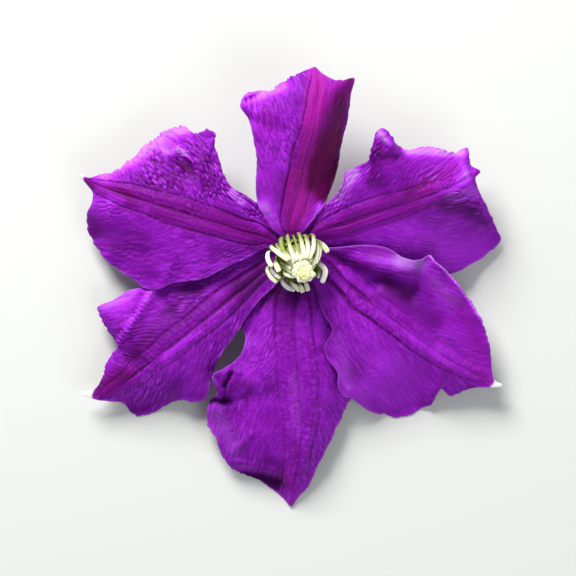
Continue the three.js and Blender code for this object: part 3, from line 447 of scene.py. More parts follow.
SEPAL_UPPER_RIGHT = {
    "name": "sepal_upper_right", "foot": 38,
    "midrib": [
        [6, 4.5, 15.5], [15.3, 7.8, 17.5], [25.8, 11.4, 19.5], [36.3, 14.7, 20.5], [45.3, 18, 19.5],
        [51.6, 21.3, 17], [55.8, 23.7, 14],
    ],
    "ccw": [
        [2.6, 6.6, 14.6], [5.4, 9.4, 15.4], [8.4, 12.8, 16.6], [12, 15.6, 18.6], [14.1, 19.2, 21.5],
        [15.3, 23.1, 21.5], [18.6, 24.9, 21], [22.5, 27, 20.5], [23.4, 31.2, 22.5], [24.6, 35.1, 24],
        [26.1, 36.3, 24], [28.5, 34.8, 22.5], [30.6, 31.8, 19.5], [33.3, 30.3, 17.5], [39, 30.9, 15],
        [43.8, 30.3, 14], [48, 29.4, 14], [51.9, 30.9, 13.5], [52.5, 28.2, 14], [52.8, 25.5, 14],
    ],
    "cw": [
        [8.4, 0.9, 12.6], [16.8, -0.9, 11.8], [27.3, -4.2, 11.2], [37.8, -7.2, 10], [45.3, -7.8, 8],
        [48.9, -6.9, 6.5], [52.8, -4.5, 4.5], [57.3, -1.8, 3], [60.9, 1.2, 2], [62.4, 3.3, 2.5],
        [61.2, 6.3, 5], [59.4, 10.2, 8.5], [57.3, 14.4, 11], [55.2, 18.6, 13], [54.3, 21.6, 13.7],
    ],
    "crown_ccw": [0, 0, 0.5, 1, 1, 0.3], "crown_cw": [0, 0.5, 1.5, 2, 2, 0.5], "bar_tint": 0.6,
    "bar_end": 13, "veins": [0.25, 0.42, 0.55], "side_slope": 0.9, "furrow": 0.3, "puckers": [0.06, 0.3],
    "pucker_length": 1.6, "wrinkles": [0.0, 0.08], "wrinkle_spacing": 1.7,
    "creases": [(26.6, 31, 30.6, 27.2, 1.3, -1.4), (25.2, 35, 28.6, 31, 0.8, 0.7)],
    "bumpy": [(41, 18, 54, 13, 3.2, 0.42)],
    "lit_and_shaded": [
        (34.5, 29.8, 50, 29.5, 2.4, 0.95), (27, 35, 33, 31, 1.4, 0.3), (50, 26, 60, 6, 1, 0.25),
        (25.2, 35.2, 28.6, 31.2, 1.2, 0.45), (44, 17, 54, 15.5, 2, 0.25), (40, 16.5, 50, 21.5, 2.6, 0.25),
        (18, 2, 27, 4, 2.5, -0.15), (50, 20.6, 52, 24.4, 2.4, 0.36), (25.2, 34.4, 26.6, 32, 1.6, 0.4),
        (34, 17.4, 39, 19.4, 1.6, -0.4), (28, 1.2, 41, 1, 2, -0.35), (38.6, 11, 45.4, 11.8, 1.8, -0.2),
        (17.4, 21, 19.4, 23.4, 1.8, 0.3), (42, 22.2, 45.4, 22.6, 1.8, -0.3),
        (26, 27, 25.6, 20.6, 2, -0.33), (24.8, 29, 30, 27.6, 1.5, -0.7), (23.4, 27, 22.8, 20, 1.3, -0.5),
        (45, 14, 58, 8.5, 2.6, -0.65), (13, 16, 17.5, 22.5, 2.8, 0.8), (20, 17, 38, 22, 5, -0.36),
        (24, 2, 54, 0, 7, 0.34),
    ],
    "warm": [(36, 17, 48, 24, 4, 0.4)],
    "maroon_shade": [(8, 4.5, 24, 9.5, 3.5, 0.45), (25, 30.5, 26.5, 28.5, 1.8, 0.7)],
    "painted_sheen": [(13.6, 16, 17, 22, 2.2, 0.4), (47, 16, 53, 17, 2.4, 0.3)],
}
SEPALS = [
    SEPAL_TOP, SEPAL_UPPER_LEFT, SEPAL_LOWER_LEFT,
    SEPAL_BOTTOM, SEPAL_LOWER_RIGHT, SEPAL_UPPER_RIGHT,
]


def on_mark(mark, x, y):
    """How far points lie from a mark's line, seen from above, and how far along it their nearest place is."""
    start_x, start_y, end_x, end_y = mark[:4]
    run_x = end_x - start_x
    run_y = end_y - start_y
    t = share(((x - start_x) * run_x + (y - start_y) * run_y) / (run_x**2 + run_y**2))
    return np.hypot(x - start_x - t * run_x, y - start_y - t * run_y), t * math.hypot(run_x, run_y)


def marked(marks, x, y):
    """The sum of marks at each point: each has its strength on its line and falls away beside it."""
    total = np.zeros_like(x)
    for mark in marks:
        width, strength = mark[4:]
        total = total + strength * bell(on_mark(mark, x, y)[0], width)
    return total


def sepal_rails(spec, u):
    """The middle vein and the two margins of a sepal at each u."""
    foot = [around_axis(RING_RADIUS, spec["foot"] + offset, 0) for offset in (0, FOOT_SPREAD, -FOOT_SPREAD)]
    tip = np.array(spec["midrib"][-1], float)
    run = unit((tip - np.array(spec["midrib"][-2], float))[:2])
    side = np.array([-run[1], run[0], 0]) * TIP_HALF_WIDTH
    return (
        rail([foot[0], *spec["midrib"]], u),
        rail([foot[1], *spec["ccw"], tip + side], u),
        rail([foot[2], *spec["cw"], tip - side], u),
    )


def sepal_form(spec, u, s):
    """A sepal's middle surface on a grid, with rows from foot to tip and columns across, and its measures."""
    midrib, ccw, cw = sepal_rails(spec, u)
    grid_u = u[:, None]
    edge = np.where(s[None, :, None] < 0, cw[:, None, :], ccw[:, None, :])
    m = midrib[:, None, :]
    reach = np.hypot(edge[..., 0] - m[..., 0], edge[..., 1] - m[..., 1])
    bar_width = spec["bar_width"] * np.sqrt(np.sin(np.pi * (0.12 + 0.86 * grid_u)))
    bar = np.minimum(bar_width / np.maximum(reach, 0.1), BAR_WIDEST_SHARE)
    t = np.abs(s)[None, :]
    beyond = bar + (t - BAR_COLUMNS) / (1 - BAR_COLUMNS) * (1 - bar)
    w = np.where(t < BAR_COLUMNS, t / BAR_COLUMNS * bar, beyond)
    x = m[..., 0] + (edge[..., 0] - m[..., 0]) * w
    y = m[..., 1] + (edge[..., 1] - m[..., 1]) * w
    calm = np.minimum(reach / CALM_REACH, 1)
    flat = np.zeros_like(x)
    heights = [cw[:, None, 2], m[..., 2], ccw[:, None, 2]]
    for place, margin, crown in ((1, cw, "crown_cw"), (3, ccw, "crown_ccw")):
        swell = smooth(CROWN_KNOTS, spec[crown], u)[:, None] * calm
        heights.insert(place, (margin[:, None, 2] + m[..., 2]) / 2 + swell)
    weights = smooth_weights(ACROSS_KNOTS, np.where(s[None, :] < 0, -w, w))
    z = (weights * np.stack([height + flat for height in heights], axis=-1)).sum(axis=-1)
    z = z + calm * marked(spec["folds"] + spec["creases"], x, y)
    fade = calm * np.minimum(grid_u * 6, 1)
    z = z + np.where(t < BAR_COLUMNS, RIB_HEIGHT * fade * np.sin(np.pi * t / BAR_COLUMNS) ** 2, 0)
    z = z + FRILL_HEIGHT * fade * t**6 * np.sin(2 * np.pi * FRILL_WAVES * grid_u + spec["foot"])
    length = np.linalg.norm(np.diff(midrib, axis=0), axis=1).sum()
    kept = share((length * (1 - grid_u) - spec["bar_end"]) / BAR_FADE + 0.5)
    return {
        "points": np.stack([x, y, z], axis=-1),
        "outwards": unit(edge - m) * np.array([1, 1, 0]),
        "along": grid_u * length + flat,
        "from_tip": length - (grid_u * length + flat),
        "out": w * reach,
        "bar": bar * reach * kept,
        "kept": kept + flat,
        "from_margin": (1 - w) * reach,
        "half": np.sign(s)[None, :] + flat,
        "fade": fade + flat,
    }


def uprights(points):
    """The upper side's normal at each point of a grid."""
    along = np.gradient(points, axis=0)
    across = np.gradient(points, axis=1)
    normals = unit(np.cross(across, along))
    return np.where(normals[..., 2:] < 0, -normals, normals)


def evened(values, passes):
    """A grid of vectors, evened out over its neighbours."""
    for _ in range(passes):
        padded = np.pad(values, ((1, 1), (1, 1), (0, 0)), mode="edge")
        values = (
            padded[:-2, 1:-1] + padded[2:, 1:-1] + padded[1:-1, :-2] + padded[1:-1, 2:] + 2 * values
        ) / 6
    return unit(values)


def sepal_relief(spec, form, seed):
    """Veins, puckers and margin waves of a sepal: their height over its middle surface, how far they shift
    the margin, how dark they are painted (the veins' own colour, painted shade in the creases, valleys and
    furrows, and painted highlight, below 0, on the hills and beads), and the coordinate that runs from one
    side vein to the next."""
    x = form["points"][..., 0]
    y = form["points"][..., 1]
    along, half, margin, bar = (form[key] for key in ("along", "half", "from_margin", "bar"))

    def of_half(key):
        return np.where(half < 0, spec[key][0], spec[key][-1])

    past_bar = np.maximum(form["out"] - bar, 0)
    branch = along - spec["side_slope"] * past_bar - SIDE_VEIN_BEND * past_bar**2 + HALVES_APART * half
    drift = 0.35 * noise(x / 3, y / 3, seed + 1)
    rise_in = share(past_bar / PUCKER_START)

    strength = of_half("puckers") + np.clip(marked(spec["bumpy"], x, y), -1, 1)
    on_bar = np.maximum(rise_in, 0.5 if spec["bar_tint"] < 0.3 else 0.3)
    strength = strength * np.clip(0.85 + 0.6 * noise(x / 6, y / 6, seed + 2), 0.3, 1.3) * on_bar
    across_cells = form["out"] / spec["pucker_length"] + drift
    first, second, value = cells(branch / PUCKER_WIDTH + drift, across_cells, seed + 3)
    net = (1 - share((second - first) / 0.6)) ** 2
    hills = share(1 - first / 0.6) * share(value + 0.2)
    puckers = strength * (0.5 - 0.7 * net - 1.3 * first**2 + 0.4 * hills)
    puckers = puckers + 0.5 * strength * noise(branch / 2.6, past_bar / 4, seed + 4)

    spacing = spec["wrinkle_spacing"]
    phase = 2 * np.pi * branch / spacing + 2.2 * noise(x / 4, y / 4, seed + 8)
    valley = (0.5 + 0.5 * np.cos(phase)) ** 2
    broken = np.clip(0.75 + 0.8 * noise(branch / spacing, past_bar / 2.2, seed + 9), 0.1, 1.2)
    broken = broken * np.clip(margin / 7, 0.3, 1) * np.clip((along - spec["calm_foot"]) / 12, 0.1, 1)
    wrinkled = of_half("wrinkles") * broken * rise_in

    wobble = form["out"] * half + 0.5 * noise(along / 7, half, seed + 7)
    near_foot = spec["furrow"] * bell(along, FURROW_REACH)
    width = VEIN_WIDTH + 0.55 * near_foot
    veins = np.maximum(
        spec["veins"][1] * bell(wobble, width), of_half("veins") * bell(np.abs(wobble) - bar, width)
    )
    faint_veins = np.maximum(*(bell(np.abs(wobble) - place * bar, FAINT_VEIN_WIDTH) for place in FAINT_VEINS))
    inside = share((bar - form["out"]) / 0.6)
    relief = puckers + wrinkled * (0.35 - valley)
    relief = relief - form["kept"] * ((VEIN_DEPTH + 1.6 * near_foot) * veins + 0.06 * faint_veins)
    relief = relief + 0.06 * inside * noise(wobble / 0.55, along / 7, seed + 5)

    wave = noise(branch / 2.4, margin / 9, seed + 6)
    relief = relief + 0.3 * wave * np.exp(-margin / WAVE_REACH)
    teeth = (0.75 * puckers + 0.14 * wave) * np.exp(-margin / TOOTH_REACH)
    beads = np.zeros_like(x)
    for row in spec["beads"]:
        _, place = on_mark(row, x, y)
        pulse = 0.5 + 0.5 * np.cos(2 * np.pi * place / BEAD_PITCH + 1.5 * noise(x / 2, y / 2, seed + 12))
        beads = beads + marked([row], x, y) * pulse
    ends = np.clip(form["from_tip"] / spec["vein_fade"], 0.2, 1) * form["kept"]
    # The veins' own dark colour, which near the foot spreads over the wider furrows as painted shade; then
    # painted shade in the pucker creases and wrinkle valleys, and painted highlight, below 0, on the pucker
    # hills and the beads.
    veins_and_painted_light = ends * (veins * (1 - 0.3 * near_foot) + 0.25 * faint_veins)
    veins_and_painted_light = veins_and_painted_light + strength * (1.9 * net - 2.6 * hills) + 1.3 * wrinkled * valley - 1.6 * beads
    return (relief + beads) * form["fade"], teeth * form["fade"], np.clip(veins_and_painted_light, -1, 1), branch


def sepal_columns():
    """Places across a sepal from -1 to 1, closer together at the margins."""
    margin = [0.943, 0.956, 0.968, 0.978, 0.986, 0.993, 0.998, 1]
    half = np.concatenate([np.linspace(0, 0.93, COLUMN_COUNT), margin])
    return np.concatenate([-half[:0:-1], half])


def sepal_rows():
    """Places along a sepal from 0 to 1, closer together at its tip."""
    return np.concatenate([np.linspace(0, 0.97, ROW_COUNT), np.linspace(0.973, 0.997, 12), [0.999, 1]])


def sepal_layers(spec, form, veins_and_painted_light, branch, seed):
    """What the material reads at each point of a sepal's upper side."""
    x = form["points"][..., 0]
    y = form["points"][..., 1]
    tip = form["from_tip"]
    # painted light and shade, a warm magenta, painted maroon shade and painted sheen, summed from the marks
    light_and_shade, warm, maroon_shade, painted_sheen = (
        np.clip(marked(spec[key], x, y), -1, 1) for key in ("lit_and_shaded", "warm", "maroon_shade", "painted_sheen")
    )
    uneven = 0.3 * noise(form["along"] / 5, form["half"] * 3 + form["out"] / 2, seed + 11)
    inside = share((form["bar"] - form["out"]) / 2.6 + 0.5 + uneven)
    mucro = share((spec["mucro"] - tip) / 0.5 + 0.5)
    shown = inside * math.sqrt(min(spec["bar_tint"] / 0.6, 1))
    return {
        "grain": [form["along"], form["out"] * form["half"], branch],
        "place": [veins_and_painted_light, form["from_margin"], tip],
        "tone": [inside * spec["bar_tint"], np.zeros_like(tip), mucro],
        "shade": [light_and_shade, shown, warm],
        # painted maroon shade, the bar's share, and painted sheen
        "shade_bar_sheen": [maroon_shade, inside, painted_sheen],
    }


def add_sepal(spec, seed, material):
    """A thin closed blade: two faces on one grid, which share its border and round off towards it."""
    form = sepal_form(spec, sepal_rows(), sepal_columns())
    relief, teeth, veins_and_painted_light, branch = sepal_relief(spec, form, seed)
    upright = evened(uprights(form["points"]), passes=4)
    middle = form["points"] + upright * relief[..., None] + form["outwards"] * teeth[..., None]
    from_end = np.minimum(form["along"], form["from_tip"])
    from_border = np.minimum(form["from_margin"], from_end) / RIM_ROUNDING
    half_thickness = SEPAL_THICKNESS / 2 * np.sqrt(1 - (1 - share(from_border)) ** 2)
    offset = upright * half_thickness[..., None]
    lowest = half_thickness + CLEARANCE
    above = middle[..., 2] - lowest
    middle[..., 2] = lowest + 0.5 * (above + np.hypot(above, CLEARANCE_EASE))
    rows, columns = half_thickness.shape
    border = np.zeros((rows, columns), bool)
    border[[0, -1], :] = True
    border[:, [0, -1]] = True
    upper = np.arange(rows * columns).reshape(rows, columns)
    lower = upper.copy()
    lower[~border] = rows * columns + np.arange((~border).sum())
    under = (middle - offset)[~border]
    under[:, 2] = np.maximum(under[:, 2], 0)
    points = np.concatenate([(middle + offset).reshape(-1, 3), under])
    faces = np.concatenate([
        np.stack([a, b, c, d], axis=-1).reshape(-1, 4)
        for a, b, c, d in (
            (upper[:-1, :-1], upper[1:, :-1], upper[1:, 1:], upper[:-1, 1:]),
            (lower[:-1, 1:], lower[1:, 1:], lower[1:, :-1], lower[:-1, :-1]),
        )
    ])
    layers = {}
    for key, parts in sepal_layers(spec, form, veins_and_painted_light, branch, seed).items():
        values = np.stack(parts, axis=-1)
        layers[key] = np.concatenate([values.reshape(-1, 3), values[~border]])
    layers["tone"][rows * columns:, 1] = 1
    add_piece(spec["name"] + "_blade", spec["name"], points, faces, material, layers)


class Look:
    """A material, with short ways to add nodes to it."""

    def __init__(self, name, roughness, **constants):
        """A new material, with constants on its shader's own sockets."""
        self.material = bpy.data.materials.new(name)
        self.material.use_nodes = True
        self.tree = self.material.node_tree
        self.shader = self.tree.nodes["Principled BSDF"]
        self.shader.inputs["Roughness"].default_value = roughness
        for key, value in constants.items():
            self.shader.inputs[key.replace("_", " ")].default_value = value

    def node(self, kind, inputs, **settings):
        """A node with its settings, and its inputs set to values or linked to other nodes' outputs."""
        made = self.tree.nodes.new(kind)
        for key, value in settings.items():
            setattr(made, key, value)
        for key, value in inputs.items():
            if isinstance(value, bpy.types.NodeSocket):
                self.tree.links.new(value, made.inputs[key])
            else:
                made.inputs[key].default_value = value
        return made

    def calc(self, operation, a, b=0.0):
        """The result of one sum on two values."""
        return self.node("ShaderNodeMath", {0: a, 1: b}, operation=operation).outputs[0]

    def times(self, a, b):
        """One value times another."""
        return self.calc("MULTIPLY", a, b)

    def ramp(self, value, low, high, to_low=0.0, to_high=1.0):
        """A value carried smoothly from one range to another."""
        inputs = {"Value": value, "From Min": low, "From Max": high, "To Min": to_low, "To Max": to_high}
        return self.node("ShaderNodeMapRange", inputs, interpolation_type="SMOOTHSTEP").outputs["Result"]

    def blend(self, factor, a, b):
        """Two colours mixed."""
        return self.node("ShaderNodeMix", {0: factor, 6: a, 7: b}, data_type="RGBA").outputs[2]

    def coated(self, colour, coats):
        """A colour under coats of others, each with how much it covers."""
        for amount, paint in coats:
            colour = self.blend(amount, colour, paint)
        return colour

    def layer(self, name):
        """The three parts of a vector that is stored on the mesh."""
        source = self.node("ShaderNodeAttribute", {}, attribute_name=name, attribute_type="GEOMETRY")
        return self.node("ShaderNodeSeparateXYZ", {0: source.outputs["Vector"]}).outputs

    def grains(self, x, y, z=0.0, detail=2.0):
        """Noise from 0 to 1 over coordinates that are already scaled."""
        vector = self.node("ShaderNodeCombineXYZ", {0: x, 1: y, 2: z}).outputs[0]
        inputs = {"Vector": vector, "Scale": 1.0, "Detail": detail}
        return self.node("ShaderNodeTexNoise", inputs).outputs["Fac"]

    def finished(self, colour, grain, roughness, height, strength, depth):
        """The material, with its colour, a fine relief, and a roughness that goes from one value to another
        with a grain."""
        bump = self.node("ShaderNodeBump", {"Strength": strength, "Distance": depth, "Height": height})
        for key, value in (
            ("Base Color", colour),
            ("Roughness", self.ramp(grain, 0.2, 0.8, *roughness)),
            ("Normal", bump.outputs["Normal"]),
        ):
            self.tree.links.new(value, self.shader.inputs[key])
        return self.material


VIOLET = (0.235, 0.005, 0.42, 1)
VIOLET_LIGHT = (0.31, 0.012, 0.56, 1)
# the colour of the painted light
LIT_VIOLET = (0.43, 0.02, 0.74, 1)
BAR_COLOUR = (0.18, 0.003, 0.20, 1)
GRAIN_COLOUR = (0.12, 0.002, 0.23, 1)
# the colour of the painted highlights
PAINTED_HIGHLIGHT = (0.52, 0.07, 0.80, 1)
# the veins' colour, also used for painted shade in creases
VEIN_AND_CREASE_SHADE = (0.07, 0.0008, 0.075, 1)
# the colour of the painted shade
PAINTED_SHADE = (0.06, 0.0008, 0.085, 1)
# the colour of the painted maroon shade, also of a faint grain
MAROON = (0.125, 0.001, 0.07, 1)
MAGENTA = (0.36, 0.010, 0.32, 1)
LILAC = (0.58, 0.20, 0.78, 1)
CRIMSON = (0.36, 0.012, 0.24, 1)
# the colour of the painted sheen
PAINTED_SHEEN_LILAC = (0.37, 0.155, 0.54, 1)
WHITE = (0.86, 0.84, 0.80, 1)
UNDER_MAUVE = (0.33, 0.13, 0.42, 1)
UNDER_GREEN = (0.36, 0.33, 0.26, 1)


def sepal_material():
    """Velvety violet with dark veins and a magenta bar. The underside is paler and its bar greenish."""
    look = Look(
        "sepal_velvet",
        0.5,
        Sheen_Weight=0.03,
        Sheen_Roughness=0.45,
        Sheen_Tint=(0.95, 0.4, 1, 1),
        Specular_IOR_Level=0.07,
        Subsurface_Weight=0.1,
        Subsurface_Radius=(1.0, 0.35, 1.0),
        Subsurface_Scale=0.0006,
    )
    times, ramp, grains = look.times, look.ramp, look.grains
    along, across, branch = look.layer("grain")
    # the veins with painted shade and highlight, the distance from the margin, and from the tip
    veins_and_painted_light, margin, tip = look.layer("place")
    bar, under, mucro = look.layer("tone")
    # painted light and shade, how much the bar shows, and the warm magenta
    light_and_shade, shown, warm = look.layer("shade")
    # painted maroon shade, the bar's share, and painted sheen
    maroon_shade, inside, painted_sheen = look.layer("shade_bar_sheen")
    out = look.calc("ABSOLUTE", across)
    streaks = grains(times(branch, 0.9), times(out, 0.16), 3.0)
    length_grain = grains(times(across, 1.7), times(along, 0.13), 7.0)
    mottle = grains(times(along, 0.16), times(across, 0.2), 1.0)
    specks = grains(times(along, 2.2), times(across, 2.2), 5.0, 1.0)
    blots = grains(times(branch, 0.8), times(out, 0.6), 9.0, 1.0)

    stripe = look.coated(BAR_COLOUR, [
        (ramp(length_grain, 0.3, 0.7, 0.0, 0.4), VEIN_AND_CREASE_SHADE),
        (ramp(tip, 16.0, 2.0, 0.0, 0.75), CRIMSON),
    ])
    # painted maroon shade, with a faint maroon grain over the whole sepal
    maroon_shade_and_grain = look.calc("ADD", maroon_shade, times(look.calc("SUBTRACT", length_grain, 0.5), 0.7))
    plain = times(ramp(light_and_shade, -0.5, 0.0), ramp(shown, 1.0, 0.3, 0.2, 1.0))
    plain = times(plain, ramp(maroon_shade, 0.3, 0.0))
    top = look.coated(VIOLET, [
        (ramp(mottle, 0.35, 0.7), VIOLET_LIGHT),
        (times(ramp(streaks, 0.35, 0.6, 0.4, 0.0), ramp(shown, 1.0, 0.5)), BAR_COLOUR),
        (times(ramp(length_grain, 0.35, 0.65, 0.0, 0.55), shown), BAR_COLOUR),
        (ramp(specks, 0.5, 0.25, 0.0, 0.6), GRAIN_COLOUR),
        (ramp(blots, 0.5, 0.3, 0.0, 0.3), GRAIN_COLOUR),
        (bar, stripe),
        (ramp(warm, 0.0, 1.0), MAGENTA),
        # painted shade in maroon, with a faint grain
        (ramp(maroon_shade_and_grain, 0.2, 1.0), MAROON),
        # painted light and shade: deeper where shade falls, paler and more lilac where light falls
        (ramp(light_and_shade, 0.0, -1.0), PAINTED_SHADE),
        (ramp(light_and_shade, 0.0, 0.6), LIT_VIOLET),
        (ramp(light_and_shade, 0.4, 1.0), LILAC),
        # a pale band along every margin: partly the margin's paler colour, partly a painted rim highlight
        (ramp(margin, 0.9, 0.1, 0.0, 0.2), LILAC),
        # painted sheen where light catches
        (ramp(painted_sheen, 0.0, 1.0), PAINTED_SHEEN_LILAC),
        # the veins' colour, with painted shade in the creases, valleys and furrows
        (times(ramp(veins_and_painted_light, 0.0, 1.0), ramp(light_and_shade, 0.9, 0.3, 0.45, 1.0)), VEIN_AND_CREASE_SHADE),
        # painted highlight on the pucker hills and the beads
        (ramp(veins_and_painted_light, 0.0, -1.0, 0.0, 0.8), PAINTED_HIGHLIGHT),
        # painted glints of the velvet's hairs, in specks and larger blots, fading out in the painted shade
        # and fewer on the bar
        (times(ramp(specks, 0.55, 0.8, 0.0, 0.25), plain), PAINTED_HIGHLIGHT),
        (times(ramp(blots, 0.5, 0.75, 0.0, 0.25), plain), PAINTED_HIGHLIGHT),
    ])
    below = look.coated(UNDER_MAUVE, [
        (ramp(mottle, 0.2, 0.8, 0.15, 0.5), VIOLET_LIGHT),
        (ramp(streaks, 0.3, 0.6, 0.4, 0.0), GRAIN_COLOUR),
        (times(inside, 0.7), UNDER_GREEN),
        # underside greener along the veins and as painted shade in the creases
        (ramp(veins_and_painted_light, 0.0, 1.0, 0.0, 0.5), UNDER_GREEN),
    ])
    colour = look.coated(top, [(under, below), (mucro, WHITE)])
    height = look.calc("ADD", times(specks, 0.7), streaks)
    return look.finished(colour, streaks, (0.62, 0.45), height, 0.6, 0.00015)


sepal_velvet = sepal_material()
for number, spec in enumerate(SEPALS):
    add_sepal(PLAIN_SEPAL | spec, 10 * number, sepal_velvet)


# Strands: stamens and styles
def draw(n):
    """A repeatable draw from -1 to 1."""
    value = math.sin(n * 12.9898 + 4.1414) * HASH_SIZE
    return 2 * (value - math.floor(value)) - 1


def curve_points(points, t):
    """Places on a smooth curve, with equal shares of t from point to point."""
    points = np.asarray(points, float)
    steps = np.sqrt(np.linalg.norm(np.diff(points, axis=0), axis=1))
    knots = np.concatenate([[0], np.cumsum(steps)])
    at = np.interp(t * (len(points) - 1), np.arange(len(points)), knots)
    return smooth(knots, points, at)


def tube(middle, tangent, flat, angle, widths, thicknesses):
    """A closed tube along a middle line, its width as near to the direction flat as it can be: its points,
    ring by ring, and its faces."""
    rings = len(middle)
    sides = len(angle)
    across = unit(flat - (tangent @ flat)[:, None] * tangent)
    out = np.cross(tangent, across)
    points = (
        middle[:, None, :]
        + across[:, None, :] * (np.cos(angle)[None, :] * widths)[..., None]
        + out[:, None, :] * (np.sin(angle)[None, :] * thicknesses)[..., None]
    )
    faces = []
    for i in range(rings - 1):
        for k in range(sides):
            a = i * sides + k
            b = i * sides + (k + 1) % sides
            faces.append((a, b, b + sides, a + sides))
    ends = [tuple(range(sides - 1, -1, -1)), tuple(range((rings - 1) * sides, rings * sides))]
    return points, faces + ends


CROWDING = 0.25  # how much closer together a strand's rings are at both its ends
TIP_ROUNDING = 0.5
THINNEST = 0.02
ANTHER_START = 0.45
ANTHER_EASE = 0.1
GROOVE_WIDTH = 0.4


def strand(points, half_widths, half_thicknesses, flat, rings, sides, groove=0.0):
    """A closed strand with oval sections and a rounded tip: its points, its faces, and where they lie."""
    even = np.linspace(0, 1, rings)
    t = CROWDING * (1 - np.cos(np.pi * even)) / 2 + (1 - CROWDING) * even
    middle = curve_points(points, t)
    tangent = unit(np.gradient(middle, t, axis=0))
    knots = np.linspace(0, 1, len(half_widths))
    length = np.linalg.norm(np.diff(middle, axis=0), axis=1).sum()
    rounding = np.sqrt(1 - (1 - share((1 - t) * length / TIP_ROUNDING)) ** 2)
    width = np.maximum(smooth(knots, half_widths, t) * rounding, THINNEST)
    thickness = np.maximum(smooth(knots, half_thicknesses, t) * rounding, THINNEST)
    angle = 2 * np.pi * (np.arange(sides) + 0.5) / sides
    anther = share((t - ANTHER_START) / ANTHER_EASE)
    hollow = 1 - groove * anther[:, None] * bell(np.cos(angle), GROOVE_WIDTH)[None, :]
    made, faces = tube(middle, tangent, flat, angle, width[:, None], thickness[:, None] * hollow)
    where = [np.repeat(t, sides), np.tile(np.cos(angle), len(t)), np.zeros(len(t) * sides)]
    return made.reshape(-1, 3), faces, np.stack(where, axis=-1)


def lathe(profile, sides):
    """A closed ring turned round the boss's axis from a closed outline of [radius, height] points."""
    points = [in_boss(r, 2 * np.pi * i / sides, h) for i in range(sides) for r, h in profile]
    count = len(profile)
    faces = []
    for i in range(sides):
        for k in range(count):
            along = (k + 1) % count
            onward = (i + 1) % sides * count
            faces.append((i * count + k, onward + k, onward + along, i * count + along))
    return np.array(points), faces, np.zeros((sides * count, 3))


class Gathered:
    """Strands gathered into one mesh."""

    def __init__(self):
        self.points = []
        self.faces = []
        self.where = []
        self.count = 0

    def add(self, points, faces, where):
        """Adds one closed body."""
        self.points.append(points)
        self.faces.extend(tuple(self.count + k for k in face) for face in faces)
        self.where.append(where)
        self.count += len(points)

    def make(self, name, node, material):
        """The piece, with its points taken from the boss's frame to the flower's."""
        layers = {"grain": np.concatenate(self.where)}
        add_piece(name, node, from_boss(np.concatenate(self.points)), self.faces, material, layers)


def from_above(place):
    """The point in the boss's frame that lies at x, y seen from above, at a height up the axis."""
    x, y, height = place
    along = x * math.cos(LEAN_TOWARDS) + y * math.sin(LEAN_TOWARDS)
    aside = y * math.cos(LEAN_TOWARDS) - x * math.sin(LEAN_TOWARDS)
    level = (along - height * math.sin(LEAN)) / math.cos(LEAN)
    return in_boss(math.hypot(aside, level), math.atan2(aside, level) + LEAN_TOWARDS, height)


def sideways(angle):
    """The level direction across a radius of the boss."""
    return np.array([-math.sin(angle), math.cos(angle), 0])


COLLAR = {"inner": 2, "outer": 3.4, "bottom": 1.4, "top": 2.5}
COLLAR_SIDES = 48
ROOT_HEIGHT = COLLAR["bottom"] + 0.3
WHORLS = [
    {"count": 12, "root": 2.5, "bulge": 4.2, "tip": 2.2, "height": 12.8},
    {"count": 14, "root": 2.8, "bulge": 5.8, "tip": 3.4, "height": 11.6},
]
# Rings of slim stamens. Each goes all the way round, or from its start over its span.
FILAMENTS = [
    {"count": 22, "root": 2.3, "bulge": 3.6, "tip": 2.0, "height": 13.2, "green": 1.4},
    {"count": 26, "root": 2.8, "bulge": 4.8, "tip": 3.2, "height": 12.0, "green": 2.0},
    {"count": 30, "root": 3.0, "bulge": 5.4, "tip": 5.0, "height": 9.0, "green": 6.0},
    {"count": 28, "root": 3.2, "bulge": 5.2, "tip": 6.2, "height": 6.4, "green": 9.0},
    {"count": 32, "root": 3.2, "bulge": 6.0, "tip": 7.1, "height": 7.4, "green": 9.0},
    {"count": 18, "root": 3.3, "bulge": 7, "tip": 9.6, "height": 6.4, "green": 9, "start": -2.4, "span": 2},
]
FILAMENT_TUCK = 0.2  # how much less far they reach on the leaning side
OUTER_ROOT = 3.0
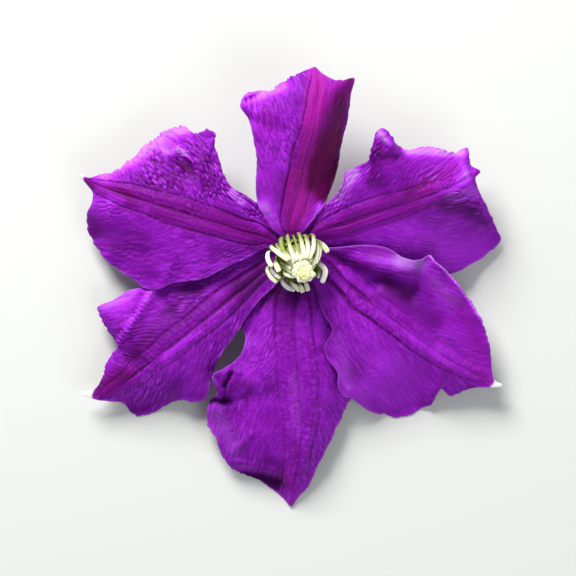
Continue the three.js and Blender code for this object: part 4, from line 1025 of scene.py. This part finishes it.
# Stamens of the outer whorl. Each has the way through its bend and its middle to its tip, as x and y from
# the flower's axis seen from above and the height up that axis, then how broad it is and how far its green
# runs up. Low values of that last one, from about -0.6 down, also paint the stamen whiter, as painted light
# on straps that lie in the tuft's shadow.
OUTER_STAMENS = [
    ([-2.0, 4.4, 4.5], [-0.8, -0.4, 9.0], [0.7, -3.3, 12.2], 1.0, 1.0),
    ([-0.2, 4.2, 4.8], [1.3, -0.6, 9.6], [2.0, -3.6, 12.6], 0.6, 2.0),
    ([1.3, 5.0, 4.5], [2.6, 0.7, 9.0], [2.9, -2.6, 11.8], 1.05, 1.2),
    ([3.2, 4.4, 4.8], [4.2, 0.6, 9.2], [3.6, -2.6, 12.4], 1.1, 1.2),
    ([5.5, 4.6, 4.6], [5.8, 0.6, 9.0], [4.4, -2.8, 12.2], 1.05, 0.6),
    ([7.5, 1.8, 5.0], [7.4, -1.6, 9.0], [6.2, -4.2, 11.6], 1.1, 0.4),
    ([-3.8, 3.6, 4.6], [-3.4, 0.0, 8.2], [-1.3, -3.0, 11.4], 1.25, 4.0),
    ([-7.0, 1.1, 5.0], [-4.4, -1.2, 9.0], [-1.6, -3.2, 11.8], 1.1, -0.6),
    ([-7.6, -0.6, 5.6], [-7.8, -2.8, 7.4], [-6.5, -5.1, 9.2], 1.1, -0.8),
    ([-8.0, -5.4, 5.6], [-7.1, -7.9, 7.0], [-5.0, -9.8, 8.6], 1.05, -1.0),
    ([-6.8, -5.6, 6.6], [-5.7, -7.3, 8.2], [-4.0, -8.5, 9.8], 0.85, -1.0),
    ([-5.5, -3.6, 7.4], [-5.1, -5.0, 8.8], [-4.4, -6.6, 10.2], 1.3, 0.2),
    ([6.3, 2.6, 4.4], [8.6, 1.3, 5.4], [10.3, -0.8, 6.4], 1.35, 1.6),
    ([7.5, -4.0, 7.8], [9.3, -6.2, 9.4], [8.3, -10.0, 10.6], 1.3, -1.6),
    ([6.6, 2.2, 5.0], [6.9, -1.2, 9.2], [5.5, -4.8, 12.0], 1.05, -1.0),
    ([5.2, -3.6, 5.6], [7.4, -5.4, 6.8], [7.2, -8.6, 7.6], 0.8, 4.0),
    ([-3.6, -9.2, 5.6], [-2.1, -11.1, 6.4], [0.5, -12.0, 7.4], 1.15, -1.6),
    ([-0.8, -9.8, 7.4], [0.6, -11.0, 8.2], [1.6, -12.4, 8.8], 1.0, -1.2),
    ([1.6, -10.2, 8.2], [2.2, -11.5, 8.8], [2.7, -12.8, 9.2], 1.2, 0.4),
    ([-3.0, -7.0, 9.0], [-1.6, -7.7, 10.4], [0.2, -8.1, 11.8], 0.9, -1.0),
    ([3.3, -9.4, 8.4], [3.8, -10.8, 9.2], [4.2, -12.4, 9.8], 1.1, 0.2),
    ([-5.2, 1.6, 5.8], [-3.6, -1.0, 8.8], [-0.6, -3.0, 11.2], 0.9, 1.6),
]
STAMEN_HALF_WIDTHS = [0.32, 0.32, 0.36, 0.56, 0.66, 0.6]
STAMEN_HALF_THICKNESSES = [0.28, 0.22, 0.24, 0.38, 0.4, 0.36]
GROOVE_DEPTH = 0.3


def stamen(points, flat, number, broad, green_and_painted_light, rings=30, sides=14):
    """One strap-shaped stamen: a flat filament and a long anther with a groove."""
    widths = [broad * width for width in STAMEN_HALF_WIDTHS]
    made, faces, where = strand(points, widths, STAMEN_HALF_THICKNESSES, flat, rings, sides, GROOVE_DEPTH)
    where[:, 2] = green_and_painted_light + 0.5 * draw(number + 500)
    return made, faces, where


def whorl_stamen(whorl, seed, number):
    """A stamen of a whorl, which bulges to one radius and closes to another round the styles."""
    turn = 2 * math.pi / whorl["count"]
    angle = turn * (number + 0.3 * seed + 0.25 * draw(seed * 50 + number))
    sway = 0.2 * draw(seed * 110 + number)
    height = whorl["height"] * (1 + 0.07 * draw(seed * 70 + number))
    bulge = whorl["bulge"] * (1 + 0.05 * draw(seed * 90 + number))
    root = whorl["root"]
    tip = whorl["tip"]
    points = [
        in_boss(root, angle, ROOT_HEIGHT),
        in_boss(root + 0.25 * (bulge - root), angle, COLLAR["top"] + 0.8),
        in_boss(bulge, angle + 0.3 * sway, height * 0.58),
        in_boss(tip + 0.35 * (bulge - tip), angle + 0.7 * sway, height * 0.86),
        in_boss(tip, angle + sway, height),
    ]
    return stamen(points, sideways(angle), seed * 20 + number, broad=0.9, green_and_painted_light=2.4)


def filament(ring, number):
    """A slim greenish stamen that fills the gaps among the others."""
    seed = 20 * ring["count"] + number
    turn = ring.get("span", 2 * math.pi) / ring["count"]
    angle = ring.get("start", 0) + turn * (number + 0.5 * draw(seed))
    reach = 1 + 0.06 * draw(seed + 40) - FILAMENT_TUCK * max(math.cos(angle - LEAN_TOWARDS), 0)
    height = ring["height"] * (1 + 0.07 * draw(seed + 80))
    points = [
        in_boss(ring["root"], angle, ROOT_HEIGHT),
        in_boss(ring["bulge"] * reach, angle + 0.05 * draw(seed + 120), 0.6 * height),
        in_boss(ring["tip"] * reach, angle + 0.1 * draw(seed + 160), height),
    ]
    return stamen(points, sideways(angle), 800 + seed, broad=0.85, green_and_painted_light=ring["green"], rings=12, sides=8)


def outer_stamen(bend, middle, tip, broad, green_and_painted_light, number):
    """A stamen of the outer whorl, through its bend and its middle to its tip, its broad side turned up."""
    bend, middle, tip = from_above(bend), from_above(middle), from_above(tip)
    up = np.array([0.0, 0.0, 1.0]) @ BOSS_TURN
    angle = math.atan2(bend[1], bend[0])
    knee = OUTER_ROOT + 0.3 * (math.hypot(bend[0], bend[1]) - OUTER_ROOT)
    points = [
        in_boss(OUTER_ROOT, angle, ROOT_HEIGHT),
        in_boss(knee, angle, COLLAR["top"] + 0.4),
        bend,
        middle,
        tip,
    ]
    return stamen(points, unit(np.cross(up, tip - bend)), 100 + number, broad, green_and_painted_light)


CREAM = (0.90, 0.91, 0.66, 1)
CREAM_SHADE = (0.66, 0.72, 0.30, 1)
# the colour of the painted light on stamens that lie in shade
PAINTED_LIGHT_WHITE = (0.95, 0.92, 0.84, 1)
FILAMENT_GREEN = (0.19, 0.27, 0.018, 1)
FILAMENT_OLIVE = (0.23, 0.26, 0.06, 1)
FILAMENT_FOOT = (0.075, 0.085, 0.02, 1)
STYLE_YELLOW = (0.96, 0.93, 0.30, 1)
STYLE_PALE = (0.97, 0.97, 0.64, 1)


def stamen_material():
    """Green at the foot of the filament, cream from there on, with painted shade in a line down the anther's
    groove, and some stamens painted whiter as painted light.
    """
    look = Look(
        "stamen_wax",
        0.45,
        Specular_IOR_Level=0.4,
        Subsurface_Weight=0.2,
        Subsurface_Radius=(1.0, 0.9, 0.6),
        Subsurface_Scale=0.0008,
    )
    times, ramp = look.times, look.ramp
    t, side, each = look.layer("grain")
    fine = look.grains(times(t, 30.0), times(side, 2.0), each)
    middle = ramp(look.calc("ABSOLUTE", side), 0.35, 0.0, 0.0, 0.5)
    green_end = look.calc("ADD", 0.5, times(each, 0.07))
    green = look.blend(ramp(each, 2.0, 4.0), FILAMENT_OLIVE, FILAMENT_GREEN)
    colour = look.coated(CREAM, [
        (ramp(fine, 0.3, 0.7, 0.0, 0.5), CREAM_SHADE),
        # painted shade: the cream's shaded colour down the groove of the anther
        (times(middle, ramp(t, 0.4, 0.5)), CREAM_SHADE),
        # painted light: stamens with a low green value are painted whiter where they lie in the tuft's shadow
        (ramp(each, -0.6, -1.2, 0.0, 0.85), PAINTED_LIGHT_WHITE),
        (ramp(look.calc("SUBTRACT", t, green_end), 0.2, 0.0), green),
        (ramp(t, 0.5, 0.2), FILAMENT_FOOT),
    ])
    return look.finished(colour, fine, (0.38, 0.55), fine, 0.3, 0.00005)


def style_material():
    """Silky pale yellow, paler at the tips, with fine lengthwise grain."""
    look = Look(
        "style_silk",
        0.5,
        Sheen_Weight=0.3,
        Sheen_Roughness=0.4,
        Subsurface_Weight=0.2,
        Subsurface_Radius=(1.0, 0.9, 0.4),
        Subsurface_Scale=0.0005,
    )
    t, side, each = look.layer("grain")
    silk = look.grains(look.times(side, 6.0), look.times(t, 3.0), each)
    yellow = look.calc("ADD", look.times(silk, 0.5), look.times(each, 0.6))
    colour = look.coated(STYLE_PALE, [
        (look.ramp(yellow, 0.2, 0.9), STYLE_YELLOW),
        (look.ramp(t, 0.4, 0.1), FILAMENT_GREEN),
    ])
    return look.finished(colour, silk, (0.4, 0.6), silk, 0.4, 0.00005)


stamens = Gathered()
stamens.add(*lathe([
    (COLLAR["inner"], COLLAR["bottom"]),
    (COLLAR["outer"], COLLAR["bottom"]),
    (COLLAR["outer"], COLLAR["top"] - 0.3),
    (COLLAR["outer"] - 0.4, COLLAR["top"]),
    (COLLAR["inner"], COLLAR["top"]),
], COLLAR_SIDES))
for seed, whorl in enumerate(WHORLS, start=1):
    for number in range(whorl["count"]):
        stamens.add(*whorl_stamen(whorl, seed, number))
for ring in FILAMENTS:
    for number in range(ring["count"]):
        stamens.add(*filament(ring, number))
for number, outer in enumerate(OUTER_STAMENS):
    stamens.add(*outer_stamen(*outer, number))
stamens.make("stamens_boss", "stamens", stamen_material())

# Styles: a tuft on a short column of ovaries, its tips turned outwards over the stamens
COLUMN = [(0.05, 1.4), (1.5, 1.4), (1.5, 5), (1.3, 7), (0.05, 7.6)]
COLUMN_SIDES = 36
STYLE_RISE = 0.35  # the rise of a tip for each millimetre that it stands out on the leaning side
STYLE_RINGS = [
    {"clumps": 1, "strands": 4, "root": 0.3, "tip": 0.45, "height": 15.5, "spread": 1.5},
    {"clumps": 6, "strands": 3, "root": 0.6, "tip": 1.8, "height": 15.4, "spread": 0.3},
    {"clumps": 9, "strands": 3, "root": 1.05, "tip": 3.3, "height": 14.8, "spread": 0.2},
]
WIDEST_TUFT = 3.3
STYLE_HALF_WIDTHS = [0.3, 0.3, 0.5, 0.88, 0.9, 0.5]
STYLE_HALF_THICKNESSES = [0.28, 0.28, 0.4, 0.6, 0.56, 0.34]


def style(ring, clump, number):
    """One style of a clump, which rises from the column and turns outwards at its tip."""
    clumps = ring["clumps"]
    root = ring["root"]
    middle = 2 * math.pi / clumps * (clump + 0.3 * draw(clumps * 30 + clump))
    height = ring["height"] + 0.25 * draw(clumps * 60 + clump)
    reach = ring["tip"] * (1 + 0.12 * draw(clumps * 90 + clump))
    seed = 1000 * clumps + 10 * clump + number
    aside = number - (ring["strands"] - 1) / 2
    angle = middle + ring["spread"] * aside
    tip = reach * (1 - 0.14 * abs(aside) + 0.05 * draw(seed))
    rise = STYLE_RISE * tip * math.cos(angle - LEAN_TOWARDS)
    points = [
        in_boss(root, angle, 5),
        in_boss(root * 1.1, angle, 9),
        in_boss(root * 1.4, angle, height - 2.2 + 0.5 * rise),
        in_boss(0.6 * tip + 0.3 * root, angle, height - 0.5 + 0.8 * rise),
        in_boss(tip, middle + 0.4 * (angle - middle), height - 0.25 * tip + 0.5 + rise),
    ]
    made, faces, where = strand(
        points, STYLE_HALF_WIDTHS, STYLE_HALF_THICKNESSES, sideways(angle), rings=24, sides=10
    )
    where[:, 2] = 1 - ring["tip"] / WIDEST_TUFT + 0.15 * draw(seed + 5)
    return made, faces, where


styles = Gathered()
styles.add(*lathe(COLUMN, COLUMN_SIDES))
for ring in STYLE_RINGS:
    for clump in range(ring["clumps"]):
        for number in range(ring["strands"]):
            styles.add(*style(ring, clump, number))
styles.make("styles_tuft", "styles", style_material())

# Stalk and receptacle, one grown piece
STALK_RADIUS = 1.15
STALK_RIB = 0.08
STALK_RIBS = 6
STALK_SIDES = 48
STALK_RINGS = 120
STALK_PATH = [
    np.array([-3.5, 29.4, 0.9 * STALK_RADIUS]),
    np.array([-3.1, 22.4, 0.9 * STALK_RADIUS]),
    np.array([-2.4, 15.4, 1.6]),
    np.array([-1.7, 8.9, 3.6]),
    around_axis(0, 0, -6),
    around_axis(0, 0, -2.9),
]
CUT_RADII = [0.01, 0.55 * STALK_RADIUS + 0.01, 0.9 * STALK_RADIUS + 0.01]
CUT_RIBS = [0, 0, STALK_RIB]
RECEPTACLE = [[1.7, -2.4], [2.7, -1.9], [3.5, -1.1], [3.85, -0.3], [3.7, 0.3], [2.8, 0.8], [1.4, 1]]
RECEPTACLE_RINGS = 36
RECEPTACLE_RIB = 0.02


def add_stalk(material):
    """A ribbed stalk that lies on the surface, rises, and swells into the receptacle."""
    t = np.linspace(0, 1, STALK_RINGS)
    middle = curve_points(STALK_PATH, t)
    tangent = unit(np.gradient(middle, t, axis=0))
    swell = np.linspace(0, 1, RECEPTACLE_RINGS) * (len(RECEPTACLE) - 1)
    outline = smooth(np.arange(len(RECEPTACLE)), RECEPTACLE, swell)
    cut = len(CUT_RADII)
    middle = np.concatenate([[middle[0]] * cut, middle, [around_axis(0, 0, height) for _, height in outline]])
    tangent = np.concatenate([[tangent[0]] * cut, tangent, np.tile(AXIS, (RECEPTACLE_RINGS, 1))])
    radius = np.concatenate([CUT_RADII, np.full(STALK_RINGS, STALK_RADIUS), outline[:, 0]])
    rib = np.concatenate([CUT_RIBS, [STALK_RIB] * STALK_RINGS, [RECEPTACLE_RIB] * RECEPTACLE_RINGS])
    angle = 2 * np.pi * np.arange(STALK_SIDES) / STALK_SIDES
    ribs = np.cos(STALK_RIBS * angle)
    radii = radius[:, None] * (1 + rib[:, None] * ribs[None, :])
    points, faces = tube(middle, tangent, np.array([1.0, 0, 0]), angle, radii, radii)
    points[..., 2] = np.maximum(points[..., 2], 0)
    travelled = np.concatenate([[0], np.cumsum(np.linalg.norm(np.diff(middle, axis=0), axis=1))])
    on_cut = (travelled < 1e-6).astype(float)
    where = [np.repeat(travelled, STALK_SIDES), np.tile(ribs, len(middle)), np.repeat(on_cut, STALK_SIDES)]
    layers = {"grain": np.stack(where, axis=-1)}
    add_piece(
        "stalk_ribbed", "stalk_and_receptacle", points.reshape(-1, 3), faces, material, layers
    )


STALK_GREEN = (0.13, 0.22, 0.055, 1)
STALK_PURPLE = (0.16, 0.045, 0.10, 1)
STALK_PALE = (0.42, 0.50, 0.22, 1)


def stalk_material():
    """Downy green flushed with purple between the ribs, and pale where it was cut."""
    look = Look("stalk_down", 0.6, Sheen_Weight=0.4, Sheen_Roughness=0.5, Specular_IOR_Level=0.3)
    along, rib, cut = look.layer("grain")
    fine = look.grains(look.times(along, 0.5), look.times(rib, 1.5), 2.0, 4.0)
    colour = look.coated(STALK_GREEN, [
        (look.ramp(fine, 0.35, 0.65), STALK_PURPLE),
        (look.ramp(rib, -0.2, 1.0, 0.0, 0.35), STALK_PALE),
        (cut, STALK_PALE),
    ])
    return look.finished(colour, fine, (0.5, 0.7), fine, 0.4, 0.0001)


add_stalk(stalk_material())

# Floor, light and camera
FLOOR_HALF = 3.0
FLOOR_COLOUR = (0.72, 0.73, 0.70, 1)
FLOOR_CORNERS = [(-1, -1), (1, -1), (1, 1), (-1, 1)]
SKY_COLOUR = (0.93, 0.96, 1.0, 1)
SKY_STRENGTH = 0.27
CAMERA_DISTANCE = 1600.0
CAMERA_SENSOR = 36.0
PHOTO_WIDTH = 576
PIXEL = 0.3  # a pixel of the photo at the height of the sepals' feet
CAMERA_SHIFT = (-1.0, -0.1)
CAMERA_CLIP = 10


def add_floor():
    """A plain pale floor."""
    mesh = bpy.data.meshes.new("floor")
    mesh.from_pydata([(x * FLOOR_HALF, y * FLOOR_HALF, 0) for x, y in FLOOR_CORNERS], [], [(0, 1, 2, 3)])
    look = Look("floor_paper", 0.8, Base_Color=FLOOR_COLOUR)
    mesh.materials.append(look.material)
    floor = put("floor", mesh)


def add_light(name, place, size, power, colour):
    """A soft square light aimed at the flower."""
    light = bpy.data.lights.new(name, "AREA")
    light.size = size
    light.energy = power
    light.color = colour
    lamp = put(name, light)
    lamp.location = place
    lamp.rotation_mode = "QUATERNION"
    lamp.rotation_quaternion = (-Vector(place)).to_track_quat("-Z", "Y")


def add_camera():
    """Straight above the flower, so far off that it hardly shrinks with depth."""
    camera_data = bpy.data.cameras.new("camera")
    camera_data.sensor_width = CAMERA_SENSOR
    camera_data.lens = CAMERA_SENSOR * (CAMERA_DISTANCE - FOOT_HEIGHT) / (PHOTO_WIDTH * PIXEL)
    camera_data.clip_end = CAMERA_CLIP
    camera = put("camera", camera_data)
    camera.location = (CAMERA_SHIFT[0] * MM, CAMERA_SHIFT[1] * MM, CAMERA_DISTANCE * MM)
    bpy.context.scene.camera = camera


add_floor()
add_light("key", place=(-0.30, 0.68, 0.54), size=0.4, power=13.2, colour=(1.0, 0.99, 0.98))
add_light("fill", place=(0.6, -0.66, 0.6), size=0.9, power=5.0, colour=(0.94, 0.97, 1.0))
add_camera()

world = bpy.data.worlds.new("world")
world.use_nodes = True
world.node_tree.nodes["Background"].inputs["Color"].default_value = SKY_COLOUR
world.node_tree.nodes["Background"].inputs["Strength"].default_value = SKY_STRENGTH
bpy.context.scene.world = world
bpy.context.scene.view_settings.view_transform = "Standard"
